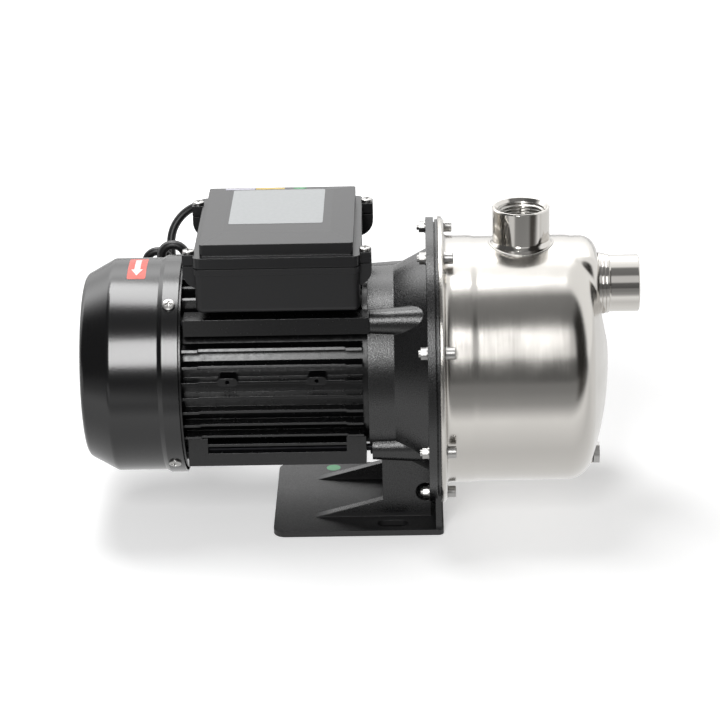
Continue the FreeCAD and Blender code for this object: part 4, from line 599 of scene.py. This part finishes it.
def light_room():
    """White studio: even light, and for shiny pieces a white back and top with a darker front."""
    scene = bpy.context.scene
    world = bpy.data.worlds.new("studio")
    scene.world = world
    world.use_nodes = True
    tree = world.node_tree
    tree.nodes.clear()
    ray = add_node(tree, "ShaderNodeLightPath")
    place = add_node(tree, "ShaderNodeTexCoord").outputs["Generated"]
    axes = add_node(tree, "ShaderNodeSeparateXYZ", {"Vector": place})
    ahead = add_node(tree, "ShaderNodeMath", {0: axes.outputs["Y"], 1: -1.0}, operation="MULTIPLY")
    round_x = add_node(tree, "ShaderNodeMath", {
        0: axes.outputs["Z"], 1: ahead.outputs["Value"]}, operation="ARCTAN2")
    share = add_node(tree, "ShaderNodeMath", {
        0: round_x.outputs["Value"], 1: 1 / math.pi}, operation="MULTIPLY", use_clamp=True)
    front = add_ramp(tree, share.outputs["Value"], ROOM_LEVELS)
    low = add_node(tree, "ShaderNodeMapRange", {
        "Value": axes.outputs["Z"], "From Min": 0.92, "From Max": 0.7}, interpolation_type="SMOOTHSTEP")
    high = add_node(tree, "ShaderNodeMapRange", {
        "Value": axes.outputs["Z"], "From Min": 0.98, "From Max": 0.88}, interpolation_type="SMOOTHSTEP")
    left = add_node(tree, "ShaderNodeMath", {
        0: sector(tree, place, -125.0, -95.0, -40.0, -24.0), 1: high.outputs["Result"]}, operation="MULTIPLY")
    dark = add_node(tree, "ShaderNodeMath", {
        0: sector(tree, place, 26.0, 38.0, 74.0, 84.0), 1: low.outputs["Result"]}, operation="MULTIPLY")
    right = sector(tree, place, 76.0, 90.0, 140.0, 160.0)
    room = add_node(tree, "ShaderNodeMix", {
        "Factor": left.outputs["Value"], "A": front, "B": (0.1, 0.1, 0.1, 1)}, data_type="RGBA")
    room = add_node(tree, "ShaderNodeMix", {
        "Factor": dark.outputs["Value"], "A": room.outputs["Result"], "B": (0.03, 0.028, 0.026, 1)},
        data_type="RGBA")
    room = add_node(tree, "ShaderNodeMix", {
        "Factor": right, "A": room.outputs["Result"], "B": (1.2, 1.2, 1.2, 1)}, data_type="RGBA")
    shown = add_node(tree, "ShaderNodeMix", {
        "Factor": ray.outputs["Is Camera Ray"], "A": room.outputs["Result"], "B": (1, 1, 1, 1)}, data_type="RGBA")
    mirror = add_node(tree, "ShaderNodeMath", {
        0: ray.outputs["Is Glossy Ray"], 1: ray.outputs["Is Transmission Ray"]}, operation="ADD", use_clamp=True)
    direct = add_node(tree, "ShaderNodeMath", {
        0: mirror.outputs["Value"], 1: ray.outputs["Is Camera Ray"]}, operation="ADD", use_clamp=True)
    soft = scene.pump_stage.soft_light
    even = add_node(tree, "ShaderNodeMix", {
        "Factor": direct.outputs["Value"], "A": (soft, soft, soft, 1), "B": shown.outputs["Result"]},
        data_type="RGBA")
    back = add_node(tree, "ShaderNodeBackground", {"Color": even.outputs["Result"], "Strength": 1.0})
    add_node(tree, "ShaderNodeOutputWorld", {"Surface": back.outputs["Background"]})
    lamps = (
        ("overhead_box", (-0.35, 0.32, 1.6), (-0.1, 0.0, 0.1), 0.5, 0.95, 10.0),
        ("front_box", (-0.42, -2.15, 1.5), (-0.1, 0.0, 0.1), 0.5, 1.3, 15.0),
    )
    for name, spot, aim, width, depth, brightness in lamps:
        lamp = bpy.data.lights.new(name, "AREA")
        lamp.shape = "RECTANGLE"
        lamp.size = width
        lamp.size_y = depth
        lamp.energy = brightness * math.pi * width * depth
        holder = bpy.data.objects.new(name, lamp)
        scene.collection.objects.link(holder)
        holder.location = spot
        holder.rotation_euler = (Vector(aim) - Vector(spot)).to_track_quat("-Z", "Y").to_euler()
    scene.view_settings.view_transform = "Standard"


class PUMP_OT_stage(bpy.types.Operator):
    """Sets up the camera, the pale floor and the soft studio light"""
    bl_idname = "pump.stage"
    bl_label = "Stage"

    def execute(self, context):
        place_camera()
        place_floor()
        light_room()
        return {"FINISHED"}


# Mains cord

def fold_points(first, last, limit, top):
    """Control points of a half-round fold between two runs."""
    middle = (first[0] + last[0]) / 2
    reach = (first[0] - last[0]) / 2 / SPLINE_REACH
    centre = limit - abs(reach) * SPLINE_REACH if top else limit + abs(reach) * SPLINE_REACH
    points = []
    for step in range(7):
        angle = math.radians(FOLD_STEP * step)
        rise = abs(reach) * math.sin(angle)
        y = first[1] + (last[1] - first[1]) * step / 6
        points.append((middle + reach * math.cos(angle), y, centre + rise if top else centre - rise))
    return points


def run_points(start, waist, end):
    """Control points of one run between two folds, straight where the tie holds it."""
    way = 1 if end[2] > start[2] else -1
    near, far = WAIST_Z - 9 * way, WAIST_Z + 9 * way
    points = []
    if start[2] < WAIST_Z - 30 or start[2] > WAIST_Z + 45:
        points.append(tuple(start[i] * 0.45 + waist[i] * 0.55 for i in (0, 1)) + ((start[2] + near) / 2,))
    points.append((waist[0], waist[1], near))
    points.append((waist[0], waist[1], far))
    points.append(tuple(end[i] * 0.45 + waist[i] * 0.55 for i in (0, 1)) + ((end[2] + far) / 2,))
    return points


def cord_route():
    """Every control point of the cord, from the gland over the tied hank to the plug, in mm."""
    route = list(LEAD)
    for turn, (first, last, limit) in enumerate(FOLDS):
        fold = fold_points(first, last, limit, top=turn % 2 == 1)
        route += run_points(route[-1], WAIST[turn], fold[0]) + fold
    route += run_points(route[-1], WAIST[-1], (-142.5, 89.2, 34.0))
    return route + [(-142.5, 89.2, 30.0)] + list(TAIL)


def tie_mesh(width, radius):
    """Flat band drawn tight round the seven runs, with its locking head and cut tail."""
    rows = []
    for step in range(96):
        angle = 2 * math.pi * step / 96
        out = Vector((math.cos(angle), math.sin(angle)))
        far = max((Vector(spot) for spot in WAIST), key=lambda spot: spot.dot(out))
        row = []
        for reach, rise in ((0.15, -1), (0.15, 1), (1.15, 1), (1.35, 0.8), (1.35, -0.8), (1.15, -1)):
            edge = far + out * (radius / MM + reach)
            row.append((edge.x * MM, edge.y * MM, WAIST_Z * MM + rise * width / 2))
        rows.append(row)
    rows.append(rows[0])
    band = grid_mesh("tie_band", rows, closed=True)
    head = lump((-160.5, 114.4, WAIST_Z), (3.6, 2.4, 3.0))
    tail = lump((-155.2, 114.6, WAIST_Z), (3.4, 0.7, 2.0))
    return gather("cord_tie", [band, head, tail])


def lump(centre, half):
    """Block with well rounded edges, in mm."""
    rows = []
    for step in range(9):
        lean = math.pi * (step + 0.02) / 8.04 - math.pi / 2
        shrink = abs(math.cos(lean)) ** 0.4
        rise = math.copysign(abs(math.sin(lean)) ** 0.4, math.sin(lean))
        row = []
        for turn in range(24):
            angle = 2 * math.pi * turn / 24
            x = math.copysign(abs(math.cos(angle)) ** 0.4, math.cos(angle)) * shrink
            y = math.copysign(abs(math.sin(angle)) ** 0.4, math.sin(angle)) * shrink
            row.append(((centre[0] + half[0] * x) * MM, (centre[1] + half[1] * y) * MM,
                        (centre[2] + half[2] * rise) * MM))
        rows.append(row)
    return grid_mesh("lump", rows, closed=True, caps=True)


def plug_mesh():
    """Moulded plug: ribbed neck, round body with grip flutes and a flat face."""
    section = [(-60.0, 3.3), (-60.0, 4.5), (-59.4, 4.85)]
    for rib in range(5):
        x = -58.6 + 3.9 * rib
        r = 5.1 + 0.5 * rib
        section += [(x, r), (x + 0.3, r - 1.1), (x + 1.5, r - 1.0), (x + 1.8, r + 0.15)]
    section += [(-38.0, 8.0), (-37.9, 10.6), (-37.2, 13.4), (-35.4, 16.2), (-32.6, 18.3), (-29.0, 19.4)]
    section += [(-27.0, 19.5)]
    section += [(-26.0 + step, 19.5) for step in range(0, 21, 2)]
    section += [(-2.0, 19.5), (-1.0, 19.2), (-0.3, 18.6), (0.0, 17.9), (0.0, 9.0), (0.0, 0.2)]
    rows = []
    for x, r in section:
        row = []
        for turn in range(144):
            angle = 2 * math.pi * turn / 144
            flute = 0.8 if -26.5 < x < -5.0 and math.cos(18 * angle) > 0.35 else 0.0
            reach = (r - flute) * MM
            row.append((x * MM, PLUG_Y * MM + reach * math.cos(angle), PLUG_Z * MM + reach * math.sin(angle)))
        rows.append(row)
    return grid_mesh("moulded_plug", rows, closed=True, caps=True)


class PUMP_OT_cord(bpy.types.Operator):
    """Lays the mains cord from the gland, folds it into a tied hank and ends it in its plug"""
    bl_idname = "pump.cord"
    bl_label = "Mains cord"

    def execute(self, context):
        sizes = context.scene.pump_cord
        curve = bpy.data.curves.new("mains_cord", "CURVE")
        curve.dimensions = "3D"
        curve.bevel_depth = sizes.diameter / 2
        curve.bevel_resolution = 5
        curve.use_fill_caps = True
        route = cord_route()
        spline = curve.splines.new("NURBS")
        spline.points.add(len(route) - 1)
        for point, spot in zip(spline.points, route):
            point.co = (spot[0] * MM, spot[1] * MM, spot[2] * MM, 1)
        spline.order_u = 3
        spline.use_endpoint_u = True
        spline.resolution_u = 10
        cord = bpy.data.objects.new("mains_cord", curve)
        context.scene.collection.objects.link(cord)
        curve.materials.append(pvc_sheath())
        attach(cord, "frame")
        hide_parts("power_cord", "cord_hank", "cord_tail")
        tie = make_piece(
            "cord_tie", tie_mesh(sizes.tie_width, sizes.diameter / 2),
            plain_plastic("nylon_tie", "#17171a", 0.4, 0.55))
        plug = make_piece(
            "moulded_plug", plug_mesh(), plain_plastic("moulded_pvc", "#141415", 0.4, 0.55))
        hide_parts("plug")
        coat(plain_metal("nickelled_brass", "#c9c2ae", 0.15, 0.25), "plug_pins")
        return {"FINISHED"}


# Body of the pump

def on_cover(u, v, lift):
    """Point on the fan cover: u along the shaft from the sticker's middle, v round the cover."""
    angle = math.radians(STICKER_TURN) + v / COVER_R
    reach = COVER_R + lift
    return STICKER_X + u, -reach * math.cos(angle), SHAFT_Z / MM + reach * math.sin(angle)


def on_lid(u, v, lift):
    """Point on the flat of the lid, from the middle of its label."""
    return LID_LABEL[0] + u, LID_LABEL[1] + v, LID_TOP + lift


def on_far_bevel(u, v, lift):
    """Point on the sloping far edge of the lid, from its middle."""
    slope = math.radians(FAR_SLOPE)
    return (BOX_X + u, 54.5 + v * math.cos(slope) + lift * math.sin(slope),
            226.6 - v * math.sin(slope) + lift * math.cos(slope))


def on_foot(u, v, lift):
    """Point on the foot plate, from the middle of its round sticker."""
    return FOOT_DOT[0] + u, FOOT_DOT[1] + v, FOOT_TOP + lift


def screw_mesh(name, radius, height, shank_r, shank_length, seats):
    """Pan-head screws with a cross recess, one for each seat: its place in mm and its outward direction."""
    profile = [(radius * step / 14, height * (1 - 0.3 * (step / 14) ** 3)) for step in range(15)]
    profile += [(radius, 0.0), (shank_r, 0.0), (shank_r, -shank_length), (0.05, -shank_length)]
    rows = []
    for count, (reach, rise) in enumerate(profile):
        row = []
        for turn in range(48):
            angle = 2 * math.pi * turn / 48
            x, y = max(reach, 0.05) * math.cos(angle), max(reach, 0.05) * math.sin(angle)
            slot = min(abs(x), abs(y)) < 0.14 * radius and reach < 0.62 * radius and count < 15
            row.append(Vector((x, y, rise - (0.55 * height if slot else 0.0))) * MM)
        rows.append(row)
    one = grid_mesh(name, rows, closed=True)
    copies = []
    for spot, outward in seats:
        copy = one.copy()
        turn = Vector(outward).to_track_quat("Z", "Y").to_matrix().to_4x4()
        copy.transform(Matrix.Translation(Vector(spot) * MM) @ turn)
        copies.append(copy)
    return gather(name, copies)


def thread_mesh(name, length, seat, inward):
    """Parallel pipe thread of 11 ridges to the inch, inside a bore of 33.3 mm."""
    edge = THREAD_R + 0.03
    count = int(length / THREAD_PITCH * 6)
    rows = [[(edge, 0.0, turn) for turn in range(72)]]
    for step in range(count + 1):
        row = []
        for turn in range(72):
            phase = (step / 6 + turn / 72) % 1
            ridge = min(max(1.25 * (1 - abs(2 * phase - 1)) - 0.12, 0.0), 1.0) * min(step / 5, 1.0)
            row.append((THREAD_R - THREAD_HEIGHT * ridge, step * THREAD_PITCH / 6, turn))
        rows.append(row)
    rows.append([(edge, count * THREAD_PITCH / 6, turn) for turn in range(72)])
    rows.append(rows[0])
    frame_in = Vector(inward).to_track_quat("Z", "Y").to_matrix().to_4x4()
    made = []
    for row in rows:
        ring = []
        for reach, depth, turn in row:
            angle = 2 * math.pi * turn / 72
            spot = Vector((reach * math.cos(angle), reach * math.sin(angle), depth))
            ring.append((frame_in @ spot + Vector(seat)) * MM)
        made.append(ring)
    return grid_mesh(name, made, closed=True)


def weld_mesh():
    """Rippled bead where the discharge port meets the round of the tank."""
    rows = []
    for step in range(240):
        angle = 2 * math.pi * step / 240
        out = Vector((math.cos(angle), math.sin(angle), 0))
        side = WELD_R * math.sin(angle)
        seat = Vector((PORT_X, 0, 0)) + out * WELD_R
        seat.z = SHAFT_Z / MM + math.sqrt(TANK_R ** 2 - side ** 2)
        bead = 0.8 + 0.06 * math.cos(60 * angle)
        row = []
        for turn in range(10):
            lean = 2 * math.pi * turn / 10
            row.append((seat + out * bead * math.cos(lean) + Vector((0, 0, bead * math.sin(lean)))) * MM)
        rows.append(row)
    rows.append(rows[0])
    return grid_mesh("port_weld", rows, closed=True)


class PUMP_OT_castings(bpy.types.Operator):
    """Coats the bracket, the finned housing and the rear end shield, and puts the sticker on the foot"""
    bl_idname = "pump.castings"
    bl_label = "Bracket and housing"

    def execute(self, context):
        coat(textured_powder_coat(), "motor_bracket")
        dot = sheet_mesh("foot_dot", oval_rows(10.5, 10.5), on_foot, 0.1)
        make_piece("foot_dot", dot, printed_film("green_film", "#1da75c"))
        coat(painted_casting(), "stator_housing", "rear_end_shield")
        return {"FINISHED"}


class PUMP_OT_fan_cover(bpy.types.Operator):
    """Paints the fan cover and puts its direction sticker on"""
    bl_idname = "pump.fan_cover"
    bl_label = "Fan cover"

    def execute(self, context):
        coat(semi_gloss_enamel(), "fan_cover")
        ground = sheet_mesh("arrow_sticker", rounded_rows(13.3, 36.3, 1.5), on_cover, 0.1)
        make_piece("arrow_sticker", ground, printed_film("red_film", colours().sticker))
        arrow = [(-13.5 + 8.1 * step / 9, -0.2 - 4.1 * step / 9, 0.2 + 4.1 * step / 9) for step in range(10)]
        arrow.append((-5.38, -2.1, 2.1))
        arrow += [(v, -2.1, 2.1) for v in between(-5.4, 14.1)] + [(14.1, -2.1, 2.1)]
        mark = sheet_mesh("arrow_mark", arrow, on_cover, 0.16)
        make_piece("arrow_mark", mark, printed_film("white_ink", "#e8e8e6"))
        return {"FINISHED"}


class PUMP_OT_terminal_box(bpy.types.Operator):
    """Finishes the terminal box, its lid and its stickers"""
    bl_idname = "pump.terminal_box"
    bl_label = "Terminal box"

    def execute(self, context):
        coat(spark_textured_abs(), "terminal_box")
        coat(satin_abs(), "terminal_box_lid")
        coat(plain_plastic("moulded_nylon", "#161617", 0.4, 0.55), "cable_gland", "gland_nut")
        label = sheet_mesh("lid_label", rounded_rows(66.3, 75.3, 2.0), on_lid, 0.12)
        make_piece("lid_label", label, printed_film("silver_film", "#a3a6a7"))
        dots = (
            ("lilac_sticker", rounded_rows(21.5, 9.6, 0.8), -30.35, "#d8d4e6"),
            ("yellow_sticker", rounded_rows(21.0, 9.6, 0.8), -8.6, "#e8c531"),
            ("green_sticker", oval_rows(10.2, 9.6), 13.0, "#20a45a"),
        )
        for name, rows, shift, colour in dots:
            moved = [(v, left + shift, right + shift) for v, left, right in rows]
            make_piece(name, sheet_mesh(name, moved, on_far_bevel, 0.1), printed_film(name, colour))
        return {"FINISHED"}


class PUMP_OT_tank(bpy.types.Operator):
    """Finishes the stainless tank, its ports, their threads and weld, and its drain"""
    bl_idname = "pump.tank"
    bl_label = "Tank and ports"

    def execute(self, context):
        coat(brushed_stainless(), "pump_casing", "seal_plate")
        polished = polished_stainless()
        coat(polished, "discharge_port", "suction_port", "drain_boss")
        cut = plain_metal("threaded_stainless", "#b9b7b3", 0.26, 0.38)
        make_piece("port_weld", weld_mesh(), cut)
        upper = thread_mesh("discharge_thread", 18.5, (PORT_X, 0, 226.1), (0, 0, -1))
        make_piece("discharge_thread", upper, cut)
        inlet = thread_mesh("suction_thread", 18.5, (176.9, 0, 168.8), (-1, 0, 0))
        make_piece("suction_thread", inlet, cut)
        return {"FINISHED"}


class PUMP_OT_fasteners(bpy.types.Operator):
    """Finishes the bolts, nuts, washers and screws"""
    bl_idname = "pump.fasteners"
    bl_label = "Fasteners"

    def execute(self, context):
        zinc = bright_zinc()
        coat(zinc, "flange_bolts", "flange_nuts", "flange_washers", "box_screws", "drain_plug")
        # Painted shade: the tie rods lie in a recess in the housing's lower rail and are drawn near black to stand
        # for its shade.
        coat(plain_metal("rod_recess_shade_steel", "#1b1b1d", 0.35, 0.5), "tie_rods")
        seats = [((BOX_X + x, y, 216.2), (0, 0, 1)) for x in (-61.5, 61.5) for y in (-53.1, 53.1)]
        lid = make_piece(
            "lid_pan_screws", screw_mesh("lid_pan_screws", 4.0, 2.6, 2.0, 14.0, seats), zinc)
        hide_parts("lid_screws")
        seats = []
        for turn in (52.8, -42.2, 127.2, 222.2):
            out = Vector((0, -math.cos(math.radians(turn)), math.sin(math.radians(turn))))
            seats.append((out * 79.0 + Vector((-154.6, 0, SHAFT_Z / MM)), out))
        cover = make_piece(
            "cover_pan_screws", screw_mesh("cover_pan_screws", 4.4, 1.8, 2.0, 6.0, seats), zinc)
        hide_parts("fan_cover_screws")
        return {"FINISHED"}


class PUMP_OT_inner_pieces(bpy.types.Operator):
    """Finishes the pieces inside the motor, the terminal box and the tank"""
    bl_idname = "pump.inner_pieces"
    bl_label = "Inner pieces"

    def execute(self, context):
        rubber = plain_plastic("nitrile_rubber", "#101010", 0.6, 0.75)
        coat(rubber, "lid_gasket", "drain_washer", "casing_o_ring", "seal_rotor", "water_slinger")
        coat(plain_metal("electrical_steel", "#8b8d90", 0.35, 0.5), "stator_core")
        coat(plain_metal("enamelled_copper", "#a85a2a", 0.25, 0.4), "stator_windings")
        coat(plain_metal("rotor_steel", "#8e8f91", 0.3, 0.45), "rotor_core")
        coat(plain_metal("ground_steel", "#b5b6b8", 0.12, 0.22), "shaft", "impeller_nut")
        coat(plain_metal("bearing_steel", "#b9babb", 0.1, 0.2), "front_bearing_outer", "front_bearing_inner",
             "rear_bearing_outer", "rear_bearing_inner")
        coat(plain_plastic("fan_polypropylene", "#1a1a1b", 0.45, 0.6), "cooling_fan")
        coat(plain_plastic("terminal_nylon", "#d8d5c8", 0.4, 0.55), "terminal_block")
        coat(plain_metal("terminal_brass", "#c9a860", 0.2, 0.35), "terminal_screws")
        coat(plain_plastic("capacitor_case", "#dcdcd6", 0.3, 0.4), "capacitor")
        coat(plain_plastic("sintered_ceramic", "#e4e1d6", 0.25, 0.4), "seal_seat")
        coat(plain_plastic("filled_impeller_plastic", "#2a2a2c", 0.45, 0.6), "impeller")
        coat(plain_plastic("diffuser_plastic", "#232325", 0.45, 0.6), "diffuser", "ejector")
        coat(plain_metal("turned_brass", "#c2a05c", 0.18, 0.3), "jet_nozzle")
        return {"FINISHED"}


class PUMP_PT_build(bpy.types.Panel):
    """Lists the pump's pieces in the sidebar"""
    bl_idname = "PUMP_PT_build"
    bl_label = "Booster pump"
    bl_space_type = "VIEW_3D"
    bl_region_type = "UI"
    bl_category = "Pump"

    def draw(self, context):
        for group in (context.scene.pump_stage, context.scene.pump_cord, context.scene.pump_colours):
            for name in group.__annotations__:
                self.layout.prop(group, name)
        for operator in OPERATORS:
            self.layout.operator(operator.bl_idname)


GROUPS = (
    ("pump_stage", PumpStageSizes),
    ("pump_cord", PumpCordSizes),
    ("pump_colours", PumpFinishColours),
)
OPERATORS = (
    PUMP_OT_stage,
    PUMP_OT_cord,
    PUMP_OT_castings,
    PUMP_OT_fan_cover,
    PUMP_OT_terminal_box,
    PUMP_OT_tank,
    PUMP_OT_fasteners,
    PUMP_OT_inner_pieces,
)


def register():
    for name, group in GROUPS:
        bpy.utils.register_class(group)
        setattr(bpy.types.Scene, name, bpy.props.PointerProperty(type=group))
    for operator in OPERATORS:
        bpy.utils.register_class(operator)
    bpy.utils.register_class(PUMP_PT_build)


def unregister():
    bpy.utils.unregister_class(PUMP_PT_build)
    for operator in reversed(OPERATORS):
        bpy.utils.unregister_class(operator)
    for name, group in reversed(GROUPS):
        delattr(bpy.types.Scene, name)
        bpy.utils.unregister_class(group)


def main():
    register()
    for operator in OPERATORS:
        group, name = operator.bl_idname.split(".")
        getattr(getattr(bpy.ops, group), name)()


if __name__ == "__main__":
    main()
